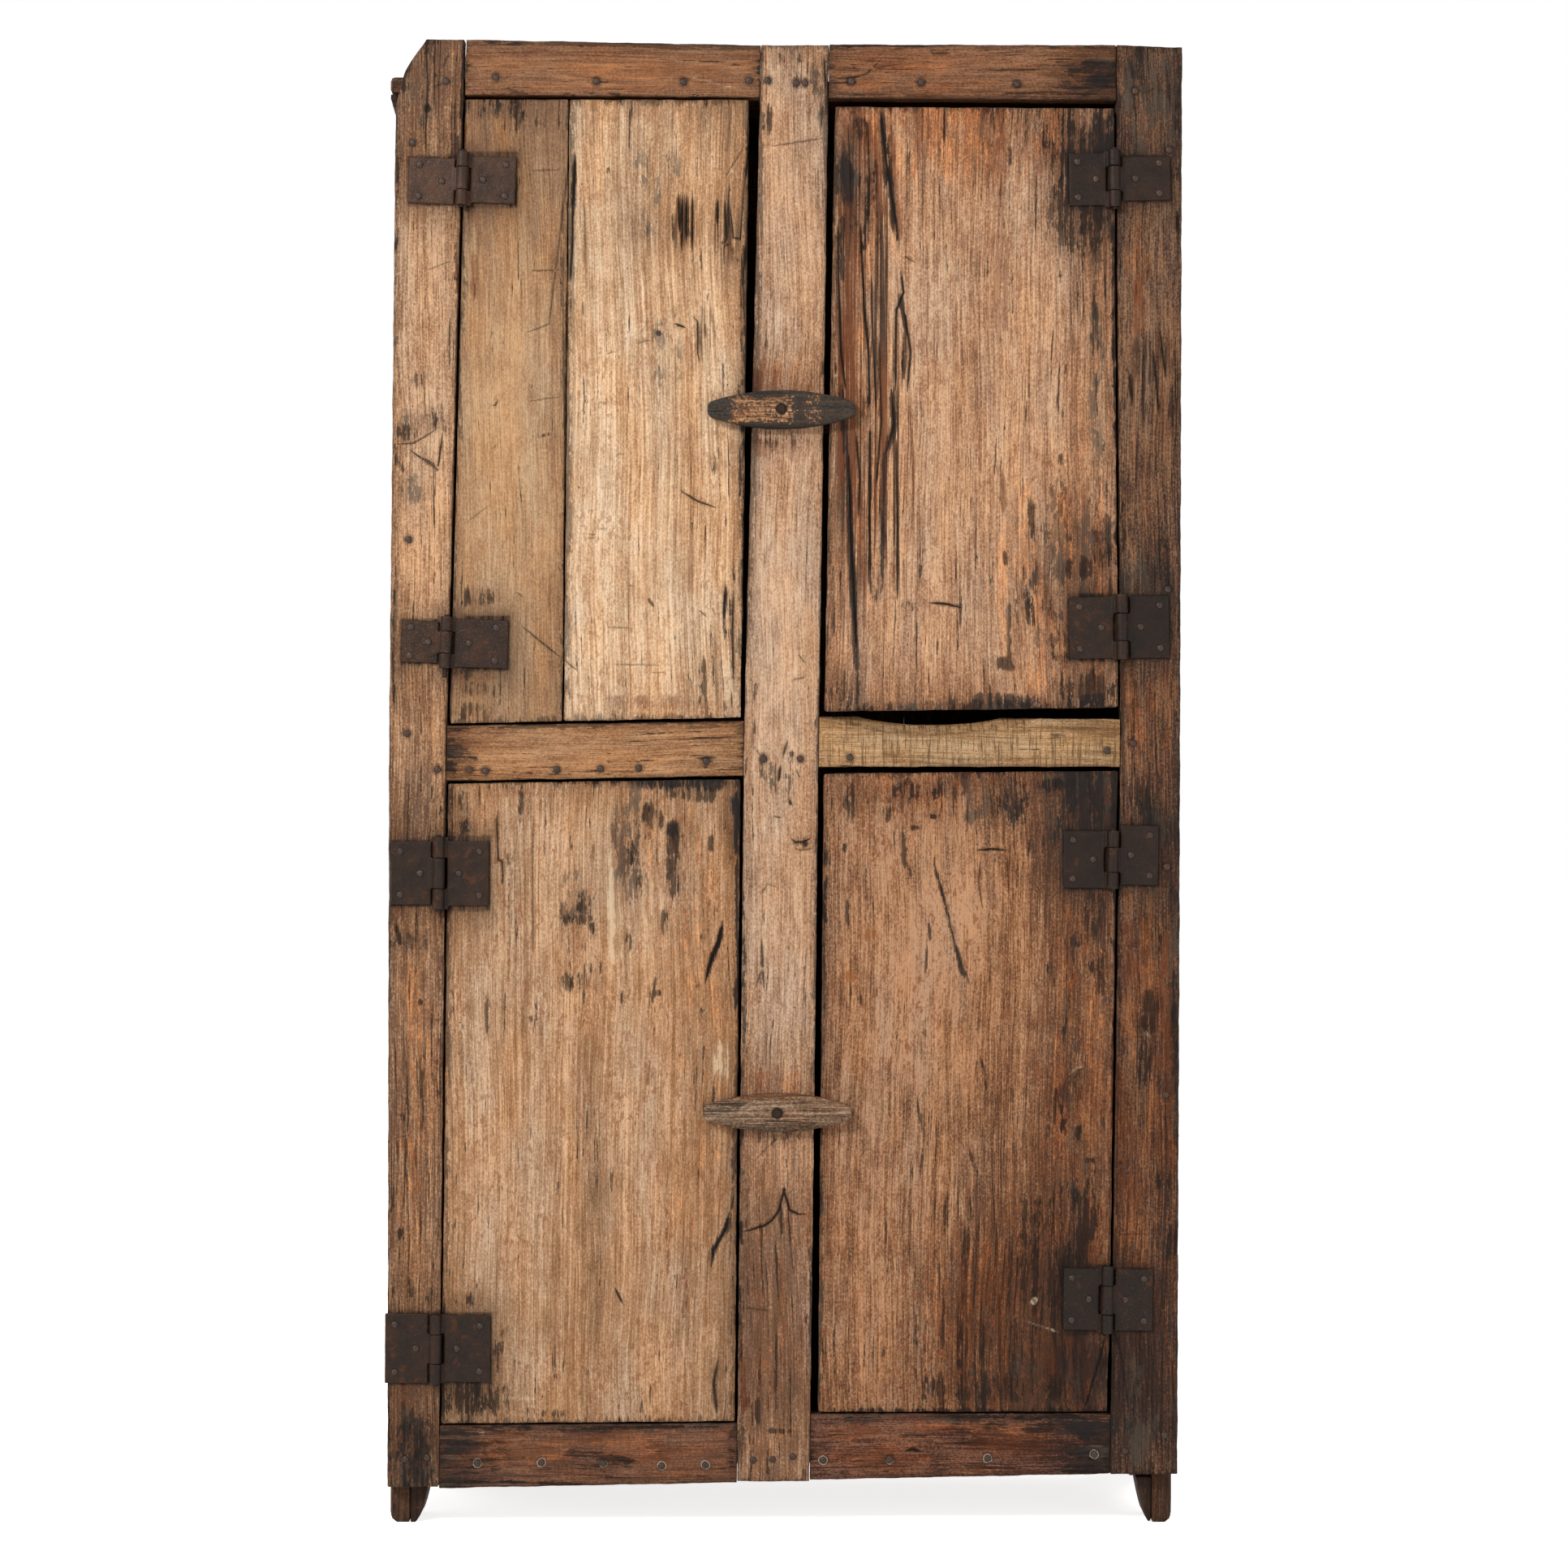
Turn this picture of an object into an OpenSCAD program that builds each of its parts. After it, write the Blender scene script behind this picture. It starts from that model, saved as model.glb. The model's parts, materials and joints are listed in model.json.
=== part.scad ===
// Rustic four-door cupboard: a nailed plank carcass, a hewn face frame of three
// stiles and six rails, four inset plank doors on iron butt hinges, and two
// wooden turn buttons on the centre stile. Front faces -Y, floor at Z = 0.

/* [Overall] */
// Width of the face frame at its widest
case_w = 990; // [940:1:1100]
// Depth from the face of the frame to the back
case_depth = 440; // [380:1:600]
// Height of the face frame at its top left corner
frame_h = 1850; // [1810:1:2000]
// Height at which the edges of the stiles change their lean
knee_h = 969; // [960:1:985]

/* [Stiles] */
// Left stile: how far its outer edge stands in at floor, knee and top
left_stile_in = [0, 2, 11]; // [0:0.5:30]
// Left stile: width at floor, knee and top
left_stile_w = [64, 72, 86]; // [50:1:100]
// Centre stile: middle of its width at floor, knee and top
centre_stile_x = [-15, -4.5, 13]; // [-30:0.5:30]
// Centre stile: width at floor, knee and top
centre_stile_w = [90.5, 94, 85]; // [70:0.5:110]
// Right stile: how far its outer edge stands in at floor, knee and top
right_stile_in = [6.5, 2.5, 0]; // [0:0.5:30]
// Right stile: width at floor, knee and top
right_stile_w = [85, 75, 83]; // [60:1:100]
// Clearance from the floor to the foot of each stile: left, centre, right
stile_foot = [48, 55, 64]; // [30:1:80]
// Drop below the frame height of the centre stile's top, and of the inner and
// the outer corner of the right stile's top
stile_drop = [7, 7, 9.5]; // [0:0.5:20]
// Worn top corner of the left stile: its width and its height
corner_wear = [41, 93]; // [10:1:100]

/* [Rails] */
// Top left rail: height above its lower edge at the left and right ends
top_left_rail_h = [70, 66]; // [50:1:90]
// Top right rail: height above its lower edge at the left and right ends
top_right_rail_h = [68, 70]; // [50:1:90]
// Lower edge of the top rails below the frame height: left pair, right pair
top_rail_low = [70, 73, 74, 77]; // [60:1:100]
// Middle left rail: height at the left and right ends
middle_left_rail_h = [70, 69]; // [50:1:90]
// Middle right rail: height at the left and right ends
middle_right_rail_h = [64, 60]; // [50:1:90]
// Lower edge of the middle rails above the floor: left pair, right pair
middle_rail_z = [926, 933, 944, 944]; // [900:1:960]
// Bottom left rail: height at the left and right ends
bottom_left_rail_h = [79, 75]; // [60:1:90]
// Bottom right rail: height at the left and right ends
bottom_right_rail_h = [83, 76]; // [60:1:90]
// Lower edge of the bottom rails above the floor: left pair, right pair
bottom_rail_z = [46, 53, 56.5, 64]; // [30:0.5:80]
// Gap between the end of a rail and the stile beside it
rail_gap = 1.2; // [0.5:0.1:3]
// Waney edge of the middle right rail: its length, its depth at the face and its
// depth at the back
wane = [270, 22, 9]; // [5:1:290]
// Middle of the waney edge, from the left end of that rail
wane_at = 140; // [120:1:200]

/* [Boards] */
// Thickness of the face frame
frame_t = 24; // [18:0.5:32]
// Thickness of the doors
door_t = 22; // [16:0.5:30]
// Thickness of the side planks
side_t = 26; // [20:0.5:35]
// Thickness of the top, middle and bottom boards
board_t = 22; // [16:0.5:30]
// Thickness of the two loose shelves
shelf_t = 18; // [14:0.5:25]
// Thickness of the back planks
back_t = 18; // [12:0.5:25]
// How far the face frame stands out past the left and right side planks
side_reveal = [1, 5]; // [0:0.5:10]
// How far the top board runs out past the left side
top_overhang = 10; // [0:1:30]
// Seating clearance between boards that meet
seat = 0.2; // [0.1:0.05:0.5]
// Gap between the two planks of a side, and between the back planks
plank_gap = 0.6; // [0.3:0.1:2]

/* [Heights] */
// Top board: drop of its middle below the frame height, left and right
top_board_drop = [53, 61]; // [45:1:70]
// Middle shelf: height of its middle, left and right
middle_shelf_z = [938, 967]; // [930:1:980]
// Bottom board: height of its middle, left and right
bottom_board_z = [78, 90]; // [65:1:100]
// Upper loose shelf: height of its middle
upper_shelf_z = 1375; // [1200:1:1550]
// Lower loose shelf: height of its middle
lower_shelf_z = 515; // [350:1:700]
// How far the loose shelves stand back from the face frame
shelf_setback = 45; // [40:1:120]
// Cleats under the shelves: height and thickness
cleat = [32, 18]; // [12:1:45]

/* [Feet] */
// Depth of each foot of the side planks
foot_d = 74; // [50:1:120]
// Height of the arch between the front and back feet
arch_h = 62; // [30:1:90]
// Foot blocks: width at the top, left and right pair
foot_block_top = [24, 18]; // [10:1:40]
// Foot blocks: width at the floor, left and right pair
foot_block_low = [6, 2]; // [2:1:20]
// Foot blocks: depth, and clearance under the bottom board
foot_block = [62, 10]; // [5:1:70]
// Worn lower corner on the outside of each foot
foot_wear = 8; // [1:0.5:12]
// Height of the lower edge of the back planks
back_low_z = 62; // [20:1:64]

/* [Doors] */
// Values for the doors go: upper left, upper right, lower left, lower right.
// Gap between a door and the stile that carries it, at the door's top
hinge_gap_top = [2, 2.2, 2, 2.2]; // [1.5:0.1:5]
// The same gap at the door's bottom
hinge_gap_bottom = [2.5, 2.2, 2, 3]; // [1.5:0.1:5]
// Gap between a door and the centre stile, at the door's top
latch_gap_top = [13, 8, 3, 6]; // [3:0.5:16]
// The same gap at the door's bottom
latch_gap_bottom = [3, 6, 3, 9]; // [3:0.5:16]
// Gap between a door and the rail above it, at the hinge side
head_gap_hinge = [4.5, 8.5, 2, 4.2]; // [1.5:0.1:12]
// The same gap at the latch side
head_gap_latch = [2, 9.5, 3.5, 7.5]; // [1.5:0.1:12]
// Gap between a door and the rail below it, at the hinge side
sill_gap_hinge = [2, 14, 2, 2]; // [1.5:0.1:15]
// The same gap at the latch side
sill_gap_latch = [3.5, 5, 2, 2]; // [1.5:0.1:15]
// Width of the hinge side board of the upper left door, bottom and top
seam_w = [142, 129]; // [115:1:160]
// Gap between the two boards of the upper left door
seam_gap = 0.6; // [0.3:0.1:2]
// Ledges across the backs of the doors: height and thickness
ledge = [70, 18]; // [14:1:90]
// Distance of a ledge from the top or bottom edge of its door
ledge_inset = 120; // [60:1:200]
// Distance of a ledge's ends from the hinge edge and from the latch edge
ledge_end = [40, 30]; // [28:1:60]

/* [Hinges] */
// Values for the hinges go: upper left, upper right, lower left, lower right.
// Distance from the top of a door to the middle of its top hinge
top_hinge_inset = [100, 89, 112, 111]; // [70:1:160]
// Distance from the bottom of a door to the middle of its bottom hinge
bottom_hinge_inset = [101, 100, 94, 140]; // [70:1:160]
// Shift of the top pin from the stile's edge towards the door
top_pin_shift = [1.8, 3.5, -7.3, 8]; // [-8:0.1:8]
// Shift of the bottom pin from the stile's edge towards the door
bottom_pin_shift = [-3.6, -2.4, -5.3, 7]; // [-8:0.1:8]
// Top hinges: reach of the frame leaf from the pin
top_frame_leaf_w = [67, 70, 60, 57]; // [45:0.5:75]
// Top hinges: height of the frame leaf
top_frame_leaf_h = [57, 55, 79, 74]; // [45:0.5:95]
// Top hinges: rise of the frame leaf's middle above the barrel's middle
top_frame_leaf_rise = [-3.5, 0, 0, 6]; // [-6:0.5:6]
// Top hinges: reach of the door leaf from the pin
top_door_leaf_w = [66, 56, 62, 61]; // [45:0.5:80]
// Top hinges: height of the door leaf
top_door_leaf_h = [58, 65, 80, 71]; // [55:0.5:95]
// Top hinges: length of the barrel
top_barrel_l = [66, 71, 90, 72]; // [60:0.5:95]
// Bottom hinges: reach of the frame leaf from the pin
bottom_frame_leaf_w = [55, 59, 63.5, 57]; // [45:0.5:75]
// Bottom hinges: height of the frame leaf
bottom_frame_leaf_h = [52, 78, 87, 77]; // [45:0.5:95]
// Bottom hinges: reach of the door leaf from the pin
bottom_door_leaf_w = [77, 65, 68, 54]; // [45:0.5:80]
// Bottom hinges: height of the door leaf
bottom_door_leaf_h = [60, 77, 83, 77]; // [55:0.5:95]
// Bottom hinges: length of the barrel
bottom_barrel_l = [64, 81, 86, 84]; // [60:0.5:95]
// How far the pins of the bottom hinges stand out below their barrels
bottom_pin_out = [12, 3, 3, 3]; // [1:0.5:14]
// How far the other ends of the pins stand out of their barrels
pin_out = 2.5; // [0.5:0.5:6]
// Radius of the hinge barrel
barrel_r = 7.5; // [6.5:0.1:10]
// Radius of the hinge pin
pin_r = 3; // [2:0.1:4]
// Thickness of the hinge leaves
leaf_t = 3; // [2:0.1:4]
// Radial clearance of the pin in the knuckles
pin_fit = 0.05; // [0.02:0.01:0.1]
// Clearance of the barrel from the faces behind it, and between knuckles
barrel_play = 0.5; // [0.3:0.1:1]
// Share of the barrel that the middle knuckle takes
middle_knuckle = 0.42; // [0.3:0.01:0.6]
// Clearance between the barrel and the flat of the other leaf
leaf_clear = 2; // [1:0.5:4]
// Nails of a leaf: share of its reach for the inner one and for the outer pair,
// and share of its height by which the pair stands off its middle
leaf_nail_at = [0.28, 0.77, 0.34]; // [0.2:0.01:0.85]
// How far the nails of a leaf stop short of the door's back
nail_short = 5; // [3:0.5:10]

/* [Turn buttons] */
// Length of a turn button
button_l = 184; // [150:1:200]
// Height of a turn button at its middle and at its ends
button_h = [48, 16]; // [10:1:60]
// Thickness of a turn button at its middle and at its long edges
button_t = [20, 11]; // [8:0.5:28]
// Clearance between a turn button and the faces behind it
button_gap = 0.3; // [0.2:0.1:1]
// Height of the upper and the lower turn button
button_z = [1388, 515]; // [400:1:1500]
// Shift of each turn button's pivot from the middle of the centre stile
button_shift = [-8, 0]; // [-12:0.5:12]
// Radius of the pivot nail's shank and of its head
pivot_r = [3, 6]; // [2:0.1:8]
// Radial clearance of a turn button on its pivot
pivot_fit = 0.05; // [0.02:0.01:0.1]

/* [Nails] */
// Radius of a nail's head and of its shank
nail_r = [4.4, 1.8]; // [1.2:0.1:6]
// Height of a nail's head
nail_head_h = 2.2; // [1:0.1:4]
// How far a nail bites into the second piece that it holds
nail_bite = 12; // [8:1:16]
// Radial clearance of a nail in its hole
nail_fit = 0.05; // [0.02:0.01:0.1]
// Nails of the top left rail, as shares of its length
top_left_nails = [0.105, 0.447, 0.742, 0.965]; // [0.03:0.005:0.97]
// Their rise above the middle of the board behind
top_left_rise = [6.4, 2.4, 2.4, 5.1]; // [-8:0.1:8]
// Nails of the top right rail
top_right_nails = [0.075, 0.32, 0.656]; // [0.03:0.005:0.97]
// Their rise
top_right_rise = [5.2, 4.9, 3.9]; // [-8:0.1:8]
// Nails of the middle left rail
middle_left_nails = [0.074, 0.129, 0.371, 0.519, 0.649, 0.877]; // [0.03:0.005:0.97]
// Their rise
middle_left_rise = [-0.2, -1.9, -2.6, -3.3, -3.7, 1.8]; // [-8:0.1:8]
// Nails of the middle right rail
middle_right_nails = [0.1, 0.959]; // [0.03:0.005:0.97]
// Their rise
middle_right_rise = [1.3, -0.5]; // [-8:0.1:8]
// Nails of the bottom left rail
bottom_left_nails = [0.125, 0.342, 0.55, 0.748, 0.896]; // [0.03:0.005:0.97]
// Their rise
bottom_left_rise = [-1.3, -1.4, -3.4, -7.8, -7]; // [-8:0.1:8]
// Nails of the bottom right rail
bottom_right_nails = [0.04, 0.263, 0.592, 0.949]; // [0.03:0.005:0.97]
// Their rise
bottom_right_rise = [-2.8, -2.9, -3.4, -0.1]; // [-8:0.1:8]
// Nails of the centre stile into the top board, as shares of the stile's width
centre_top_nails = [0.114, 0.527, 0.656]; // [0.05:0.005:0.95]
// Their rise
centre_top_rise = [5.3, 2.5, 2.6]; // [-8:0.1:8]
// Nails of the centre stile into the middle shelf
centre_middle_nails = [0.27, 0.754]; // [0.05:0.005:0.95]
// Their rise
centre_middle_rise = [2.6, 1.2]; // [-8:0.1:8]
// Nails of the centre stile into the bottom board
centre_bottom_nails = [0.221, 0.488, 0.766]; // [0.05:0.005:0.95]
// Their rise
centre_bottom_rise = [-1.7, -1, 1.7]; // [-8:0.1:8]
// Nails of the left stile into the top, middle and bottom boards
left_end_nails = [0.745, 0.848, 0.766]; // [0.5:0.005:0.95]
// Their rise
left_end_rise = [0.9, 2, 6.5]; // [-8:0.1:8]
// Nails of the right stile into the top, middle and bottom boards
right_end_nails = [0.289, 0.21, 0.218]; // [0.05:0.005:0.5]
// Their rise
right_end_rise = [-4, 8, 3.5]; // [-8:0.1:8]
// Nails of the left stile into the side plank, above the floor
left_nails_up = [83, 986, 1227]; // [70:1:1250]
// Nails of the left stile into the side plank, below the frame height
left_nails_down = [129]; // [100:1:400]
// Nails of the right stile into the side plank, above the floor
right_nails_up = [113, 536, 820, 1165]; // [100:1:1250]
// Nails of the right stile into the side plank, below the frame height
right_nails_down = [138]; // [100:1:400]
// Where those nails meet the left and the right side plank, from its outside
side_nail_x = [21.5, 11.5]; // [8:0.5:22]
// Distance of the side planks' outer nails from the edges of the carcass
side_nail_in = 60; // [20:1:90]
// Distance of the side planks' inner nails from the joint of the two planks
side_seam_nail_in = 50; // [15:1:90]
// Nails of a back plank, as shares of its width
back_nails = [0.12, 0.88]; // [0.05:0.01:0.95]
// Nails of a ledge, as shares of its length
ledge_nails = [0.07, 0.22, 0.62, 0.93]; // [0.04:0.01:0.96]
// How far a ledge's nails step up and down from its middle
ledge_nail_step = 12; // [0:1:20]

/* [Hidden] */
$fn = 48;

pale_wood = [0.72, 0.58, 0.40];
brown_wood = [0.50, 0.36, 0.23];
red_wood = [0.42, 0.26, 0.17];
dark_wood = [0.33, 0.24, 0.17];
iron = [0.20, 0.17, 0.15];

// ---- Depths, front to back: the buttons lead and the back nails' heads end ----
button_proud = button_gap + button_t[0] + nail_head_h;
front_y = (button_proud - case_depth - nail_head_h) / 2;
back_y = front_y + case_depth;
carcass_y = front_y + frame_t + seat;
inner_back_y = back_y - back_t - seat;
seam_y = (carcass_y + inner_back_y) / 2;
shelf_y = front_y + frame_t + shelf_setback;

// ---- Edges of the stiles, which lean and have a knee ----
function mix(a, b, t) = a + (b - a) * t;
function mid(v) = (v[0] + v[1]) / 2;
function along(v, z) = z < knee_h ? mix(v[0], v[1], z / knee_h)
    : mix(v[1], v[2], (z - knee_h) / (frame_h - knee_h));
function left_outer(z) = -case_w / 2 + along(left_stile_in, z);
function left_inner(z) = left_outer(z) + along(left_stile_w, z);
function centre_left(z) = along(centre_stile_x, z) - along(centre_stile_w, z) / 2;
function centre_right(z) = along(centre_stile_x, z) + along(centre_stile_w, z) / 2;
function right_outer(z) = case_w / 2 - along(right_stile_in, z);
function right_inner(z) = right_outer(z) - along(right_stile_w, z);
function side_left(z) = left_outer(z) + side_reveal[0];
function side_right(z) = right_outer(z) - side_reveal[1];
function inside_left(z) = side_left(z) + side_t + seat;
function inside_right(z) = side_right(z) - side_t - seat;

// ---- Rails: heights of the left and right ends of the lower edge, then of the
// upper edge ----
function rail_z(low, h) = [low[0], low[1], low[0] + h[0], low[1] + h[1]];
rails = [
    rail_z([frame_h - top_rail_low[0], frame_h - top_rail_low[1]], top_left_rail_h),
    rail_z([frame_h - top_rail_low[2], frame_h - top_rail_low[3]], top_right_rail_h),
    rail_z([middle_rail_z[0], middle_rail_z[1]], middle_left_rail_h),
    rail_z([middle_rail_z[2], middle_rail_z[3]], middle_right_rail_h),
    rail_z([bottom_rail_z[0], bottom_rail_z[1]], bottom_left_rail_h),
    rail_z([bottom_rail_z[2], bottom_rail_z[3]], bottom_right_rail_h)];
// Left and right ends of a rail at a height: even rails stand on the left
function rail_start(i, z) = (i % 2 == 0 ? left_inner(z) : centre_right(z)) + rail_gap;
function rail_end(i, z) = (i % 2 == 0 ? centre_left(z) : right_inner(z)) - rail_gap;
function rail_outline(i) = let(z = rails[i]) [[rail_start(i, z[0]), z[0]],
    [rail_end(i, z[1]), z[1]], [rail_end(i, z[3]), z[3]], [rail_start(i, z[2]), z[2]]];

// ---- Carcass boards that run from side to side, at a given place along them ----
top_board_z = [frame_h - top_board_drop[0], frame_h - top_board_drop[1]];
boards = [top_board_z, middle_shelf_z, bottom_board_z];
half_w = case_w / 2 - side_t;
function board_z(v, x) = mix(v[0], v[1], (x + half_w) / (2 * half_w));
function board_outline(v, t) = [
    for (corner = [[-1, -1], [1, -1], [1, 1], [-1, 1]])
        let(z = (corner[0] < 0 ? v[0] : v[1]) + corner[1] * t / 2,
            x = corner[0] < 0 ? inside_left(z) : inside_right(z))
        [x, board_z(v, x) + corner[1] * t / 2]];
// Undersides of the top board, where the sides and the back stand under it
function under_top(x) = board_z(top_board_z, x) - board_t / 2 - seat;
side_top = [under_top(side_left(top_board_z[0])), under_top(side_right(top_board_z[1]))];

// ---- Doors: corners as hinge bottom, latch bottom, latch top, hinge top ----
// Doors with an even number hang on the left stile: side is 1, and -1 for others
function side(i) = i % 2 == 0 ? 1 : -1;
function hinge_edge(i, z) = side(i) > 0 ? left_inner(z) : right_inner(z);
function latch_edge(i, z) = side(i) > 0 ? centre_left(z) : centre_right(z);
function door(i) = let(h = i % 2, l = 1 - h, above = rails[i], below = rails[i + 2],
        z = [below[2 + h] + sill_gap_hinge[i], below[2 + l] + sill_gap_latch[i],
            above[l] - head_gap_latch[i], above[h] - head_gap_hinge[i]])
    [[hinge_edge(i, z[0]) + side(i) * hinge_gap_bottom[i], z[0]],
        [latch_edge(i, z[1]) - side(i) * latch_gap_bottom[i], z[1]],
        [latch_edge(i, z[2]) - side(i) * latch_gap_top[i], z[2]],
        [hinge_edge(i, z[3]) + side(i) * hinge_gap_top[i], z[3]]];
doors = [for (i = [0:3]) door(i)];
// The seam between the boards of the upper left door, bottom and top
function seam_point(a, b, w) = [a[0] + w, mix(a[1], b[1], w / (b[0] - a[0]))];
seam = [seam_point(doors[0][0], doors[0][1], seam_w[0]),
    seam_point(doors[0][3], doors[0][2], seam_w[1])];

// ---- Hinges: door i, end e (0 is the bottom hinge and 1 the top one) ----
axis_y = front_y - barrel_r - barrel_play;
function pin_point(i, e) = let(
        z = e > 0 ? doors[i][3][1] - top_hinge_inset[i]
            : doors[i][0][1] + bottom_hinge_inset[i])
    [hinge_edge(i, z) + side(i) * (e > 0 ? top_pin_shift[i] : bottom_pin_shift[i]), z];
axes = [for (i = [0:3]) [pin_point(i, 0), pin_point(i, 1)]];
function lean(i) = atan2(axes[i][1][0] - axes[i][0][0], axes[i][1][1] - axes[i][0][1]);
// A leaf's size: its reach, its height and the rise of its middle
function frame_leaf_size(i, e) = e > 0
    ? [top_frame_leaf_w[i], top_frame_leaf_h[i], top_frame_leaf_rise[i]]
    : [bottom_frame_leaf_w[i], bottom_frame_leaf_h[i], 0];
function door_leaf_size(i, e) = e > 0 ? [top_door_leaf_w[i], top_door_leaf_h[i], 0]
    : [bottom_door_leaf_w[i], bottom_door_leaf_h[i], 0];
function barrel_l(i, e) = e > 0 ? top_barrel_l[i] : bottom_barrel_l[i];
// Where the flat of a leaf starts, and how far its face stands behind the pin
leaf_start = barrel_r + leaf_clear;
leaf_face = barrel_r + barrel_play - leaf_t - seat;
leaf_nail_l = leaf_t + door_t - nail_short;
// Nail places on a leaf: one by the barrel and two near the outer corners
function leaf_nails(size) = [
    [mix(leaf_start, size[0], leaf_nail_at[0]), size[2]],
    [mix(leaf_start, size[0], leaf_nail_at[1]), size[2] + size[1] * leaf_nail_at[2]],
    [mix(leaf_start, size[0], leaf_nail_at[1]), size[2] - size[1] * leaf_nail_at[2]]];

// ---- Ledges: outline of one, and the nails through it into the door ----
ledge_y = front_y + door_t + seat;
ledge_nail_l = ledge[1] + nail_bite;
function ledge_outline(i, e) = let(d = doors[i],
        z = e > 0 ? d[3][1] - ledge_inset - ledge[0] : d[0][1] + ledge_inset,
        t = (z + ledge[0] / 2 - d[0][1]) / (d[3][1] - d[0][1]),
        a = mix(d[0][0], d[3][0], t) + side(i) * ledge_end[0],
        b = mix(d[1][0], d[2][0], t) - side(i) * ledge_end[1])
    [[a, z], [b, z], [b, z + ledge[0]], [a, z + ledge[0]]];
function ledge_pts(i) = [for (e = [0, 1], k = [0:len(ledge_nails) - 1])
    let(o = ledge_outline(i, e)) [mix(o[0][0], o[1][0], ledge_nails[k]),
        (o[0][1] + o[2][1]) / 2 + (k % 2 == 0 ? -1 : 1) * ledge_nail_step]];

// ---- Nail places on the face of the frame ----
function nail_row(start, end, shares, rises, board) = [for (k = [0:len(shares) - 1])
    let(x = mix(start, end, shares[k])) [x, board_z(board, x) + rises[k]]];
rail_nails = [[top_left_nails, top_left_rise], [top_right_nails, top_right_rise],
    [middle_left_nails, middle_left_rise], [middle_right_nails, middle_right_rise],
    [bottom_left_nails, bottom_left_rise], [bottom_right_nails, bottom_right_rise]];
function rail_pts(i) = let(z = mid([rails[i][0], rails[i][3]]))
    nail_row(rail_start(i, z), rail_end(i, z), rail_nails[i][0], rail_nails[i][1],
        boards[floor(i / 2)]);
centre_nails = [[centre_top_nails, centre_top_rise],
    [centre_middle_nails, centre_middle_rise], [centre_bottom_nails, centre_bottom_rise]];
function centre_pts(row) = let(z = mid(boards[row])) nail_row(centre_left(z),
    centre_right(z), centre_nails[row][0], centre_nails[row][1], boards[row]);
function left_pts(row) = let(z = boards[row][0]) nail_row(left_outer(z), left_inner(z),
    [left_end_nails[row]], [left_end_rise[row]], boards[row]);
function right_pts(row) = let(z = boards[row][1]) nail_row(right_inner(z),
    right_outer(z), [right_end_nails[row]], [right_end_rise[row]], boards[row]);
function heights(up, down) = concat(up, [for (d = down) frame_h - d]);
left_side_pts = [for (z = heights(left_nails_up, left_nails_down))
    [side_left(z) + side_nail_x[0], z]];
right_side_pts = [for (z = heights(right_nails_up, right_nails_down))
    [side_right(z) - side_nail_x[1], z]];
function row_pts(row) = concat(centre_pts(row), left_pts(row), right_pts(row),
    rail_pts(2 * row), rail_pts(2 * row + 1));

// ---- Nail places on the sides, the back and the top of the carcass ----
side_nail_y = [carcass_y + side_nail_in, seam_y - side_seam_nail_in,
    seam_y + side_seam_nail_in, inner_back_y - side_nail_in];
side_nail_l = side_t + nail_bite;
inner_boards = [middle_shelf_z, bottom_board_z];
back_w = (side_right(knee_h) - side_left(knee_h) - 2 * plank_gap) / 3;
function back_start(i, z) = side_left(z) + i * (back_w + plank_gap);
function back_end(i, z) = i == 2 ? side_right(z) : back_start(i, z) + back_w;
function back_x(i, s, z) = mix(back_start(i, z), back_end(i, z), s);
function back_pts(i) = [for (b = inner_boards, s = back_nails)
    let(x = back_x(i, s, mid(b))) [x, board_z(b, x)]];
top_nail_pts = concat(
    [for (y = side_nail_y) [side_left(top_board_z[0]) + side_t / 2, y]],
    [for (y = side_nail_y) [side_right(top_board_z[1]) - side_t / 2, y]],
    [for (i = [0:2], s = back_nails) [back_x(i, s, side_top[0]), back_y - back_t / 2]]);

// ---- Shared shapes ----

// A board in the plane of the face: outline in X and Z, front at y, t thick
module plate(outline, y, t) {
    translate([0, y + t, 0]) rotate([90, 0, 0]) linear_extrude(t) polygon(outline);
}

// A rod along +Y that starts at depth y
module rod_y(p, y, length, r) {
    translate([p[0], y, p[1]]) rotate([-90, 0, 0]) cylinder(h = length, r = r);
}

// A nail that points down from the origin, with its head above, and its hole
module nail_down(length) {
    translate([0, 0, -length]) cylinder(h = length + 2 * nail_fit, r = nail_r[1]);
    translate([0, 0, nail_fit])
        cylinder(h = nail_head_h, r1 = nail_r[0], r2 = nail_r[0] * 0.62);
}
module hole_down(length) {
    translate([0, 0, -length - nail_fit])
        cylinder(h = length + nail_head_h, r = nail_r[1] + nail_fit);
}

// The same nail or hole, turned to go in along +Y, -Y, +X or -X
module into_front(p, y) {
    translate([p[0], y, p[1]]) rotate([90, 0, 0]) children();
}
module into_back(p, y) {
    translate([p[0], y, p[1]]) rotate([-90, 0, 0]) children();
}
module into_side(b, y, direction) {
    z = direction > 0 ? b[0] : b[1];
    translate([direction > 0 ? side_left(z) : side_right(z), y, z])
        rotate([0, -direction * 90, 0]) children();
}
module on_top(p) {
    translate([p[0], p[1], board_z(top_board_z, p[0]) + board_t / 2]) children();
}

// ---- Nail holes ----
frame_nail_l = frame_t + nail_bite;
top_nail_l = board_t + 2 * nail_bite;
module front_holes(points) {
    for (p = points) into_front(p, front_y) hole_down(frame_nail_l);
}
module side_holes() {
    for (b = inner_boards, y = side_nail_y, direction = [1, -1])
        into_side(b, y, direction) hole_down(side_nail_l);
}
module back_holes() {
    for (i = [0:2], p = back_pts(i)) into_back(p, back_y) hole_down(back_t + nail_bite);
}
module top_holes() {
    for (p = top_nail_pts) on_top(p) hole_down(top_nail_l);
}
module ledge_holes(i) {
    for (p = ledge_pts(i)) into_back(p, ledge_y + ledge[1]) hole_down(ledge_nail_l);
}

// ---- Carcass ----

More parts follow.
